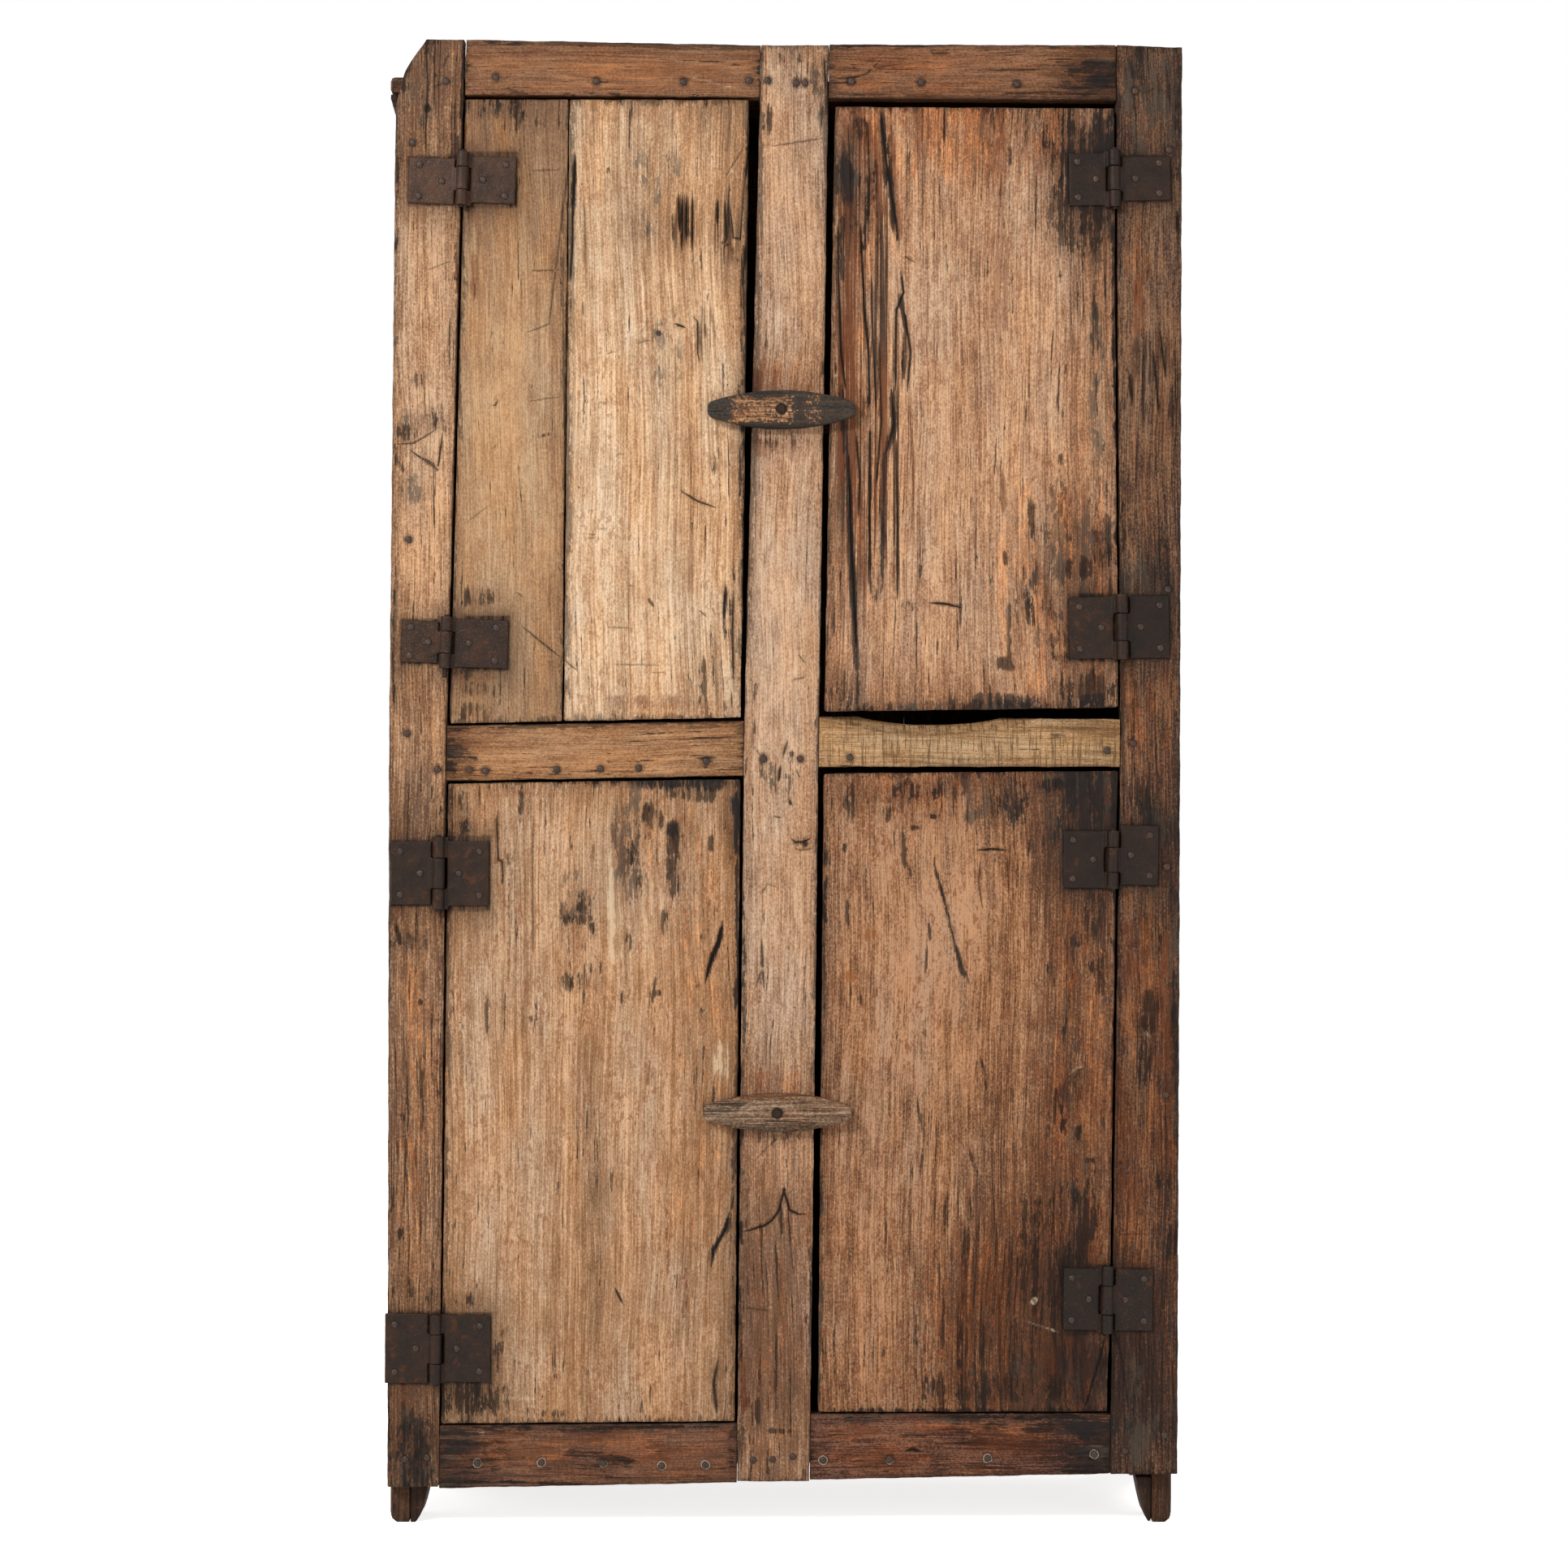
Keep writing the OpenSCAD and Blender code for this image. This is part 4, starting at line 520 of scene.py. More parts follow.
            (1.8, .8, 719, 482, 719, 481), (1.8, .8, 258, 562, 258, 561),
            (1.8, .8, 976, 316, 976, 315)],
        "dark": [(3, .7, 125, 782, 227, 748), (8, .5, 300, 969, 272, 946),
            (8, .6, 34, 861, 67, 827),
            (24, .6, 482, 342, 535, 318), (14, .75, 511, 309, 393, 268),
            (8, .5, 683, 390, 634, 356),
            (4, .6, 295, 394, 272, 378), (8, .75, 915, 359, 950, 293), (10, .5, 50, 88, 65, 49),
            (5, .5, 45, 713, 55, 634), (4, .5, 246, 668, 328, 640)],
        "blue_spot": [(24, 30, .55, 552, 782), (14, 14, .6, 135, 35), (18, 36, .55, 423, 474)],
        "dark_spot": [(10, 22, .5, 820, 748), (12, 14, .8, 498, 315), (15, 26, .5, 722, 206),
            (3, 3, .9, 93, 218), (14, 26, .6, 877, 163)],
        "gouge": [(5, .9, 927, 886, 930, 868)],
        "blue": [(10, .5, 243, 996, 301, 975), (9, .6, 58, 310, 114, 287)],
        "red": [(26, .6, 243, 395, 204, 333), (18, .6, 812, 384, 765, 276),
            (20, .5, 135, 253, 280, 182), (14, .4, 293, 844, 353, 793),
            (12, .4, 414, 725, 478, 634)],
        "pale": [(3, .7, 435, 311, 562, 305)],
    },
    "top_left_rail": {
        "dark": [(4, .5, 17, 975, 93, 963, 212, 936), (6, .4, 9, 850, 9, 96),
            (4, .5, 999, 921, 1002, 111), (3, .5, 266, 22, 997, 30)],
        "split": [(.8, .4, 95, 190, 163, 372), (.8, .4, 333, 383, 503, 304)],
        "pale": [(1.2, .5, 740, 409, 946, 130)],
    },
    "top_right_rail": {
        "split": [(1.4, .75, 7, 368, 79, 370, 129, 462, 149, 559, 179, 718),
            (1.2, .6, 149, 559, 241, 625), (2, .7, 352, 907, 362, 828, 423, 840)],
        "blue_spot": [(20, 6, .85, 932, 373)],
        "dark_spot": [(16, 6, .6, 922, 658), (14, 10, .5, 972, 167)],
        "dark": [(3, .5, 6, 954, 352, 976, 993, 985), (5, .5, 995, 892, 999, -14),
            (3, .5, 9, -10, 465, -53, 993, -71)],
    },
    "middle_left_rail": {
        "dark_spot": [(9, 16, .8, 11, 222), (13, 8, .6, 879, 252), (9, 5, .5, 649, 214),
            (10, 14, .6, 27, 799)],
        "dark": [(5, .5, 18, 434, 115, 381), (5, .45, 503, 295, 730, 278),
            (4, .5, 19, 30, 423, 38, 989, 41), (4, .5, 18, 999, 557, 1011, 996, 1002),
            (4, .5, 998, 831, 1001, 200)],
        "red": [(20, .3, 18, 933, 220, 912)],
    },
    "middle_right_rail": {
        "dark": [(3, .4, 681, 903, 991, 922), (3, .4, 2, 22, 575, 12, 997, 12)],
        "dark_spot": [(12, 6, .5, 942, 819), (10, 8, .4, 796, 663)],
    },
    "bottom_left_rail": {
        "blue_spot": [(26, 16, .85, 43, 815), (46, 9, .85, 128, 157)],
        "dark": [(12, .7, 401, 558, 528, 478, 685, 323), (8, .6, 431, 343, 636, 256),
            (8, .7, 764, 54, 960, 84), (5, .6, 18, 979, 488, 953, 992, 973),
            (6, .5, 977, 926, 989, 57)],
        "pale": [(1.5, .6, 126, 880, 155, 887)],
        "split": [(1.2, .6, 489, 362, 627, 328)],
        "red_spot": [(30, 10, .5, 244, 779)],
    },
    "bottom_right_rail": {
        "dark_spot": [(22, 14, .55, 495, 670), (14, 9, .5, 430, 186), (24, 9, .6, 948, 45)],
        "dark": [(10, .85, 693, 726, 835, 795), (5, .6, 4, 979, 457, 948, 991, 961),
            (9, .6, 552, 778, 674, 839), (8, .5, 35, 91, 553, 18), (6, .6, -3, 828, -5, 8)],
        "blue_spot": [(28, 14, .85, 934, 757)],
        "gouge": [(5, .95, 315, 425, 343, 449, 371, 403)],
        "pale": [(1.2, .6, 915, 470, 995, 464)],
        "red_spot": [(30, 10, .5, 175, 732)],
    },
}


def linear(code):
    """A hex colour as the linear RGB that the shader works in."""
    parts = [int(code[i:i + 2], 16) / 255 for i in (0, 2, 4)]
    return [p / 12.92 if p < .04045 else ((p + .055) / 1.055) ** 2.4 for p in parts]


def colour_prop(label, description, code):
    return FloatVectorProperty(name=label, description=description, subtype="COLOR",
                               size=3, min=0, max=1, default=linear(code))


def length_prop(label, description, millimetres):
    return FloatProperty(name=label, description=description, unit="LENGTH",
                         min=0, precision=4, default=millimetres * MM)


def finish_props():
    """One dark, body and pale colour for each finish."""
    made = {}
    for finish, codes in FINISHES.items():
        plain = finish.replace("_", " ")
        for part, code in zip(TONES, codes):
            made[f"{finish}_{part}"] = colour_prop(
                f"{plain} {part}", f"The {part} tone of the {plain}", code)
    for stain, (code, words) in STAIN_COLOURS.items():
        made[f"{stain}_colour"] = colour_prop(stain.replace("_", " "), words, code)
    return made


ArmoireColours = type("ArmoireColours", (bpy.types.PropertyGroup,),
                      {"__doc__": "Colours of the wood, stains and iron",
                       "__annotations__": finish_props()})


class ArmoireSizes(bpy.types.PropertyGroup):
    """Sizes of the wear and of the mesh that carries it."""
    grid: length_prop("Board grid", "Spacing of the mesh on the front of a board", 1.9)
    arris: length_prop("Worn arris", "Usual rounding of a board's front edges", 2.4)
    waver: length_prop("Edge waver", "How far a board's edge wanders inwards", .8)
    gouge: length_prop("Gouge depth", "Depth of a hacked or gouged mark", 1.6)
    reach: length_prop("Crack reach", "How far a crack is carried on either side", 4)
    # How far the grime and the painted shade round the iron reach
    grime: length_prop("Grime reach", "How far the grime spreads round the iron", 17)
    leaf_voxel: length_prop("Leaf detail", "Voxel size of the hinge leaves", 1.1)
    button_voxel: length_prop("Button detail", "Voxel size of the turn buttons", 1.3)
    plank_voxel: length_prop("Plank detail", "Voxel size of the carcass planks", 5)
    hammered: length_prop("Hammered relief", "Unevenness of the forged iron", .7)


# ---- Modelling helpers ----
def deselect():
    if bpy.context.object and bpy.context.object.mode != "OBJECT":
        bpy.ops.object.mode_set(mode="OBJECT")
    bpy.ops.object.select_all(action="DESELECT")


def take(*pieces):
    """Selects these pieces alone, the first of them active."""
    deselect()
    for piece in pieces:
        piece.select_set(True)
    bpy.context.view_layer.objects.active = pieces[0]
    return pieces[0]


def apply_modifier(piece, kind, **settings):
    take(piece)
    modifier = piece.modifiers.new(kind.title(), kind)
    for name, value in settings.items():
        setattr(modifier, name, value)
    bpy.ops.object.modifier_apply(modifier=modifier.name)


def smooth(piece, degrees):
    take(piece)
    bpy.ops.object.shade_smooth_by_angle(angle=math.radians(degrees))


def recalculate(piece):
    take(piece)
    bpy.ops.object.mode_set(mode="EDIT")
    bpy.ops.mesh.select_all(action="SELECT")
    bpy.ops.mesh.remove_doubles(threshold=WELD)
    bpy.ops.mesh.normals_make_consistent(inside=False)
    bpy.ops.object.mode_set(mode="OBJECT")


def welded_copy(node, name):
    """A copy of a CAD node with its loose triangles merged; the node itself stays as it is."""
    piece = frame["nodes"][node].copy()
    piece.data = frame["nodes"][node].data.copy()
    for key in list(piece.keys()):
        del piece[key]
    piece.name = piece.data.name = name
    piece.parent = None
    bpy.context.scene.collection.objects.link(piece)
    piece.hide_viewport = piece.hide_render = False
    piece.data.materials.clear()
    recalculate(piece)
    return piece


def vertices(piece):
    found = np.empty(len(piece.data.vertices) * 3)
    piece.data.vertices.foreach_get("co", found)
    return found.reshape(-1, 3)


def set_vertices(piece, places):
    piece.data.vertices.foreach_set("co", places.ravel())
    piece.data.update()


def set_attribute(piece, name, values):
    """Stores three numbers per vertex for the materials to read."""
    layer = piece.data.attributes.new(name, "FLOAT_VECTOR", "POINT")
    layer.data.foreach_set("vector", np.stack(values, 1).astype(np.float32).ravel())


def hand_over(piece, node):
    """The piece stands for its node, rides on its body and takes its slot's finish."""
    made = frame["nodes"][node]
    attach(piece, body_of(made)[0])
    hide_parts(node)


def waves(along, seed, longest, octaves=4):
    """A repeatable waver from about -1 to 1 along a distance."""
    draw = np.random.default_rng(seed)
    total = np.zeros_like(along)
    for octave in range(octaves):
        turns = along * 2 ** octave * (1 + .3 * draw.random()) / longest
        total += np.sin(2 * np.pi * (turns + draw.random())) / 1.6 ** octave
    return total / 1.8


def ease(value):
    value = np.clip(value, 0, 1)
    return value * value * (3 - 2 * value)


# ---- Front boards ----
class Outline:
    """The four edges of a board's flat face, as its CAD node draws them."""

    def __init__(self, node, back=False):
        mesh = frame["nodes"][node].data
        mesh.calc_loop_triangles()
        places = np.array([v.co for v in mesh.vertices])
        corners = np.array([t.vertices[:] for t in mesh.loop_triangles])
        depth = places[:, 1]
        level = depth.max() if back else depth.min()
        flat = corners[(abs(depth[corners] - level) < LEVEL).all(1)]
        self.face = places[flat][:, :, [0, 2]]
        self.low, self.high = self.face.min((0, 1)), self.face.max((0, 1))
        self.size = self.high - self.low
        self.upright = node in STILES
        margin = STILE_MARGIN if self.upright else min(self.size[1] * RAIL_MARGIN[0],
                                                       RAIL_MARGIN[1])
        self.sides = self.edge(1, np.linspace(self.low[1] + margin,
                                              self.high[1] - margin, SIDE_SAMPLES))
        self.rub_corner()
        self.foot = self.head = self.edge(0, self.low[0] + self.size[0]
                                          * np.linspace(*END_SHARES, END_SAMPLES))
        if self.upright:    # it leans, so each end is read over where it stands itself
            self.foot, self.head = (
                self.edge(0, left + np.array(STILE_END_SHARES) * (right - left))
                for left, right in (self.left_right(self.low[1] + margin),
                                    self.left_right(self.high[1] - margin)))

    def edge(self, along, samples):
        """Where lines across the face meet its edges, carried on straight past both ends."""
        start = self.face.reshape(-1, 2)
        end = self.face[:, [1, 2, 0]].reshape(-1, 2)
        rise = end[:, along] - start[:, along]
        rows = []
        for at in samples:
            share = np.divide(at - start[:, along], rise, out=np.full(len(rise), -1.),
                              where=abs(rise) > 1e-9)
            hit = (share >= 0) & (share <= 1)
            across = (start + share[:, None] * (end - start))[hit, 1 - along]
            rows.append((across.min(), across.max()))
        rows = np.array(rows)
        step = 1 if len(samples) < 9 else 6
        before = rows[0] + (rows[0] - rows[step]) / (samples[step] - samples[0]) * CARRY_ON
        after = (rows[-1] + (rows[-1] - rows[-1 - step])
                 / (samples[-1] - samples[-1 - step]) * CARRY_ON)
        samples = np.concatenate([[samples[0] - CARRY_ON], samples, [samples[-1] + CARRY_ON]])
        return samples, np.vstack([before, rows, after])

    def rub_corner(self):
        """Rounds the sides a little, and keeps them also as they were before a corner wore away."""
        at, rows = self.sides
        top = self.low[1] + WORN_FROM * self.size[1]
        slope = (np.interp(top, at, rows[:, 0])
                 - np.interp(top - WORN_BELOW, at, rows[:, 0])) / WORN_BELOW
        whole = rows.copy()
        whole[:, 0] = np.where(at > top, np.interp(top, at, rows[:, 0]) + slope * (at - top),
                               rows[:, 0])
        self.whole_sides = (at, whole)
        if self.upright:
            for _ in range(3):
                rows[2:-2] = (rows[1:-3] + 2 * rows[2:-2] + rows[3:-1]) / 4

    def left_right(self, z, whole=False):
        at, rows = self.whole_sides if whole else self.sides
        return np.interp(z, at, rows[:, 0]), np.interp(z, at, rows[:, 1])

    def low_high(self, x):
        return (np.interp(x, self.foot[0], self.foot[1][:, 0]),
                np.interp(x, self.head[0], self.head[1][:, 1]))

    def place(self, u, v, whole=False):
        """x and z of a point given by its shares across and up the board."""
        x, z = self.low[0] + u * self.size[0], self.low[1] + v * self.size[1]
        for _ in range(SETTLE_ROUNDS):
            left, right = self.left_right(z, whole)
            x = left + u * (right - left)
            foot, head = self.low_high(x)
            z = foot + v * (head - foot)
        return x, z


def grid_shares(length, step):
    """Shares along a side: close together by its two ends, then evenly spaced."""
    rim = np.array(GRID_RIM) * MM
    middle = np.linspace(rim[-1], length - rim[-1], max(4, round(length / step)))
    places = np.concatenate([rim[:-1], middle, length - rim[:-1][::-1]])
    return places / length


def stroke_field(points, x, z):
    """Distance to a line through points, its signed side, the share along it, and its length."""
    best = np.full(len(x), np.inf)
    side, share = np.zeros(len(x)), np.zeros(len(x))
    steps = np.hypot(*np.diff(points, axis=0).T)
    total, run = max(steps.sum(), 1e-6), 0.
    for (ax, az), (bx, bz), step in zip(points[:-1], points[1:], steps):
        dx, dz = (bx - ax) / max(step, 1e-6), (bz - az) / max(step, 1e-6)
        along = (x - ax) * dx + (z - az) * dz
        held = np.clip(along, 0, step)
        off = (x - ax) * dz - (z - az) * dx
        away = np.hypot(x - ax - held * dx, z - az - held * dz)
        closer = away < best
        best = np.where(closer, away, best)
        side = np.where(closer, off, side)
        share = np.where(closer, (run + held) / total, share)
        run += step
    return best, side, share, total


class Marks:
    """What time has left at points of a board: tone, stains, zones and cracks."""

    def __init__(self, board, outline, x, z, sizes):
        self.outline, self.x, self.z, self.sizes = outline, x, z, sizes
        self.amount = {kind: np.zeros(len(x)) for kind in STROKES}
        self.zone = {kind: np.zeros(len(x)) for kind in ZONE_KINDS}
        self.tone, self.offset, self.strength, self.width = np.zeros((4, len(x)))
        self.nearest = np.full(len(x), sizes.reach)
        self.second = 3 * self.nearest
        for wide, high, change, u, v in WASHES.get(board, ()):
            px, pz = outline.place(u, v, True)
            self.tone += change * np.exp(-((x - px) / wide / MM) ** 2
                                         - ((z - pz) / high / MM) ** 2)
        for kind, *patch in ZONES.get(board, ()):
            self.patch(self.zone[kind], patch, *ZONE_RIM)
        for kind, marks in MARKS.get(board, {}).items():
            for mark in marks:
                if kind.endswith("_spot"):
                    patch = mark[:3] + (mark[3] / 1000, mark[4] / 1000)
                    self.patch(self.amount[kind.removesuffix("_spot")], patch, *SPOT_RIM)
                else:
                    self.stroke(kind, *mark)
        # none where one crack's side meets another's
        self.strength *= ease((self.second - self.nearest) / CRACK_PARTING)

    def patch(self, field, patch, outer, fade):
        """A soft patch, gone at outer times its half widths."""
        wide, high, strength, u, v = patch
        px, pz = self.outline.place(u, v, True)
        far = np.hypot((self.x - px) / wide, (self.z - pz) / high) / MM
        np.maximum(field, strength * ease((outer - far) / fade), out=field)

    def stroke(self, kind, width, strength, *shares):
        """A line of a stain, a crack or a gouge, thinner towards its ends."""
        opens = kind in ("split", "gouge")
        width *= MM
        points = np.array([self.outline.place(*pair, True)
                           for pair in np.array(shares).reshape(-1, 2) / 1000])
        reach = self.sizes.reach if opens else width * 1.6 + 2 * MM
        near = np.logical_and.reduce([
            (at > points[:, i].min() - reach) & (at < points[:, i].max() + reach)
            for i, at in enumerate((self.x, self.z))])
        if not near.any():
            return
        away, side, share, total = stroke_field(points, self.x[near], self.z[near])
        taper = ease(np.minimum(share, 1 - share) * total
                     / min(LONGEST_TAPER, total * .4) + .12)
        if opens:
            if total < SHORTEST_CRACK:
                return
            before, ours = self.nearest[near], away < self.nearest[near]
            self.second[near] = np.minimum(self.second[near], np.where(ours, before, away))
            at = np.flatnonzero(near)[ours]
            self.nearest[at] = away[ours]
            self.offset[at] = side[ours] / MM
            self.strength[at] = strength * ease((self.sizes.reach - away[ours]) / CRACK_FADE)
            self.width[at] = min(width / MM + .5, WIDEST_CRACK) * taper[ours]
        if kind != "split":
            half = width / (GOUGE_SHARE if kind == "gouge" else 2) * (.5 + .5 * taper)
            soft = ease((2. - away / np.maximum(half, THINNEST_STROKE)) / 1.5)
            field = self.amount[kind]
            field[near] = np.maximum(field[near], strength * soft * taper)


def grime_and_shade_round(x, z, nodes, reach):
    """Grime that fades away from the boxes of the ironwork, a little longer downwards."""
    grime = np.zeros(len(x))
    for node in nodes:
        low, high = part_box(node)
        across = np.maximum(np.maximum(low.x - x, x - high.x), 0)
        up = np.where(z < low.z, (low.z - z) * GRIME_AND_SHADE_BELOW, np.maximum(z - high.z, 0))
        away = np.hypot(across, up)
        np.maximum(grime, GRIME_AND_SHADE * np.exp(-away / reach), out=grime)
        np.maximum(grime, SEAT_SHADOW * np.exp(-(away / SEAT_SHADE) ** 2), out=grime)
    return grime


def past_nails(x, z, front):
    """Distance in mm from the rims of the nail heads nearest to points of a front face."""
    past = np.full(len(x), NAIL_REACH)
    for middle_x, middle_z, radius, head in nail_heads():
        if head <= front + 1 * MM:
            past = np.minimum(past, (np.hypot(x - middle_x, z - middle_z) - radius) / MM)
    return past


HEADS = []


def nail_heads():
    """Place, head radius and foremost point of each nail that is driven in from the front."""
    if not HEADS:
        nailed = [node for node in frame["nodes"] if node.endswith(("_nails", "_pivots"))]
        for low, high in (box for node in nailed for box in islands(node)):
            wide = max(high[0] - low[0], high[2] - low[2])
            if high[1] - low[1] > wide:
                HEADS.append(((low[0] + high[0]) / 2, (low[2] + high[2]) / 2, wide / 2, low[1]))
    return HEADS


def islands(node):
    """Boxes of a node's separate solids, lowest and highest corner of each."""
    mesh = frame["nodes"][node].data
    places = np.array([v.co for v in mesh.vertices])
    _, weld = np.unique(np.round(places, 6), axis=0, return_inverse=True)
    corners = weld.ravel()[np.array([p.vertices[:3] for p in mesh.polygons])]
    label = np.arange(weld.max() + 1)
    while True:
        least = label[corners].min(1)
        before = label.copy()
        for column in corners.T:
            np.minimum.at(label, column, least)
        label = label[label]
        if (label == before).all():
            break
    owner = label[weld.ravel()]
    return [(places[owner == one].min(0), places[owner == one].max(0))
            for one in np.unique(owner)]


def rounding(distance, radius):
    """How far a rounded edge falls back, at a distance in from the edge."""
    inward = np.clip(radius - distance, 0, None)
    return radius - np.sqrt(np.maximum(radius ** 2 - np.minimum(inward, radius) ** 2, 0))


def flat_board(node, face, front, back, across, up):
    """A grid over the face of a board, its outer edge extruded to the rear and closed there."""
    middle = (face.low + face.high) / 2
    deselect()
    bpy.ops.mesh.primitive_grid_add(
        x_subdivisions=len(across) - 1, y_subdivisions=len(up) - 1, size=1,
        location=(middle[0], front, middle[1]), rotation=(math.pi / 2, 0, 0))
    board = bpy.context.object
    board.scale = (face.size[0], face.size[1], 1)
    bpy.ops.object.transform_apply(location=True, rotation=True, scale=True)
    board.name = board.data.name = node + "_worn"
    bpy.ops.object.mode_set(mode="EDIT")
    bpy.ops.mesh.select_all(action="SELECT")
    bpy.ops.mesh.region_to_loop()
    for share in RING_SHARES:
        bpy.ops.mesh.extrude_region_move(
            TRANSFORM_OT_translate={"value": (0, share * (back - front), 0)})
    bpy.ops.mesh.edge_face_add()
    bpy.ops.object.mode_set(mode="OBJECT")
    return board


def worn_edges(node, gaps, x, z, sizes):
    """Rounds a board's edges unevenly. Returns how far they fall back, and x and z."""
    rail = node in RAILS
    tight = TIGHT_SIDES.get(node, (0, 1) if rail else ())
    fall = np.zeros(len(x))
    for side, (gap, along, push) in enumerate(zip(
            gaps, (z, z, x, x), ((1, 0), (-1, 0), (0, 1), (0, -1)))):
        seed = 10 * FRONT_BOARDS.index(node) + side
        radius = sizes.arris * (1 + ARRIS_SWING * waves(along, seed, ARRIS_WAVE))
        if side in tight:
            radius = radius * TIGHT_ARRIS
        fall = np.maximum(fall, rounding(gap, radius))
        near = np.exp(-gap / EDGE_DEPTH)
        wander = sizes.waver * .5 * (1 + waves(along, seed + 500, EDGE_WAVE, 5)) * near
        if side in tight and rail:
            wander = -RAIL_TUCK * near
        x, z = x + push[0] * wander, z + push[1] * wander
    corner = DOOR_CORNER if node in DOOR_BOARDS else BOARD_CORNER
    for side, inward in ((0, 1), (1, -1)):
        for end, upward in ((2, 1), (3, -1)):
            a, b = corner - gaps[side], corner - gaps[end]
            far = np.hypot(a, b)
            pull = np.where((a > 0) & (b > 0) & (far > corner),
                            1 - corner / np.maximum(far, 1e-9), 0)
            x, z = x + pull * a * inward, z + pull * b * upward
    return fall, x, z


def worn_board(node, sizes):
    """A front board: a fine grid pulled to the node's outline, worn, and marked for its finish."""
    face, rear = Outline(node), Outline(node, back=True)
    front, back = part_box(node)[0].y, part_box(node)[1].y
    across, up = (grid_shares(length, sizes.grid) for length in face.size)
    board = flat_board(node, face, front, back, across, up)
    flat = vertices(board)
    u, v = (shares[np.rint((flat[:, i] - low) / length * (len(shares) - 1)).astype(int)]
            for shares, i, low, length in zip((across, up), (0, 2), face.low, face.size))
    w = np.clip((flat[:, 1] - front) / (back - front), 0, 1)
    x, z = face.place(u, v)
    rear_x, rear_z = rear.place(u, v)
    x, z = x + w * (rear_x - x), z + w * (rear_z - z)
    left, right = face.left_right(z)
    foot, head = face.low_high(x)
    gaps = [np.where(share == edge, 0, np.maximum(gap, 0)) for gap, share, edge
            in zip((x - left, right - x, z - foot, head - z), (u, u, v, v), (0, 1, 0, 1))]
    fall, x, z = worn_edges(node, gaps, x, z, sizes)
    marks = Marks(node, face, x, z, sizes)
    amount, zone, inner = marks.amount, marks.zone, np.minimum.reduce(gaps)
    ridges = RIDGE_HEIGHT * zone["furrow"] * (1 + waves(
        x + .004 * np.sin(z * 9), FRONT_BOARDS.index(node), RIDGE_WAVE, 4))
    dent = (sizes.gouge * amount["gouge"] + ridges * MM) * ease(inner / DENT_RIM + .4)
    skin = w == 0
    y = front + np.where(skin, fall + dent, w * (back - front))
    set_vertices(board, np.stack([x, y, z], 1))
    shown = (w < .5).astype(float)
    iron = [name for name in frame["nodes"] if name.endswith("_leaf")]
    # Grime and painted shade round the hinge leaves, kept as the third value of marks
    grime = grime_and_shade_round(x, z, iron, sizes.grime)
    # Dirt and painted shade along the board's edges, kept as the first value of wear
    edge = np.exp(-inner / EDGE_DIRT_AND_SHADE) * (FAINT_EDGE_DARKENING if node == "middle_right_rail" else 1)
    for name, values in (
            ("stains", (amount["dark"], amount["blue"], amount["red"])),
            ("marks", (amount["pale"], amount["rust"], grime)),
            ("wear", (edge, marks.tone, amount["gouge"])),
            ("zones", (zone["varnish"], zone["ink"], zone["furrow"]))):
        set_attribute(board, name, [shown * value for value in values])
    past = np.where(skin, past_nails(x, z, front), NAIL_REACH)
    set_attribute(board, "nails", [past, *np.zeros((2, len(past)))])
    set_attribute(board, "crack", [marks.offset, shown * marks.strength, shown * marks.width])
    recalculate(board)
    smooth(board, 50)
    hand_over(board, node)
    return board


# ---- Nails, hinges, buttons and planks ----
# Strength and size of the unevenness of a plank and of a button, and the size of a leaf's
PLANK_UNEVEN = (.0014, .09)
BUTTON_UNEVEN = (.0011, .02)
LEAF_UNEVEN = .011
PLANK_EDGE = .008          # how far in from their edges planks and leaves are worn
LEAF_EDGE = .004
NAIL_SHANK = .42           # share of the head's radius
NAIL_RINGS = ((.0, 2.35), (.1, 1.02), (.2, .9), (.14, .72), (.05, .5))    # rise and swell
NAIL_TURN = 2.4            # from one nail to the next
PLANK_KEEP = .35           # share of a plank's faces that is kept
SMALL_WORK = {"voxel": .0025, "keep": .6}    # voxel size and share kept for cove and feet
LEDGE_WORK = {"voxel": .003, "keep": .5}     # and for the doors' ledges
BUTTON_TIP = .93           # share of its half length where a button's rounded end starts
ON_JOINTS = ("back_plank", "foot")     # planks that swell less, so that their joints close


def forged_nail():
    """One hand-forged nail at the origin, its head towards -Y: the shank, then its head's rings."""
    deselect()
    bpy.ops.mesh.primitive_cylinder_add(vertices=12, radius=NAIL_SHANK, depth=1,
                                        location=(0, .5, 0), rotation=(math.pi / 2, 0, 0))
    nail = bpy.context.object
    bpy.ops.object.transform_apply(location=True, rotation=True, scale=True)
    bpy.ops.object.mode_set(mode="EDIT")
    bpy.ops.mesh.select_all(action="DESELECT")
    bpy.ops.object.mode_set(mode="OBJECT")
    for face in nail.data.polygons:
        face.select = face.normal.y < -.9
    bpy.ops.object.mode_set(mode="EDIT")
    bpy.ops.mesh.select_mode(type="FACE")
    for rise, swell in NAIL_RINGS:
        bpy.ops.mesh.extrude_region_move(TRANSFORM_OT_translate={"value": (0, -rise, 0)})
        bpy.ops.transform.resize(value=(swell, 1, swell))
    bpy.ops.object.mode_set(mode="OBJECT")
    places = vertices(nail)
    turn, out = np.arctan2(places[:, 2], places[:, 0]), np.hypot(places[:, 0], places[:, 2])
    head = places[:, 1] <= 0
    places[:, [0, 2]] *= np.where(head, 1 + .06 * np.sin(3 * turn + .7)
                                  + .04 * np.sin(5 * turn + 2), 1)[:, None]
    places[:, 1] -= np.where(head, .07 * out * np.sin(2 * turn), 0)
    set_vertices(nail, places)
    return nail


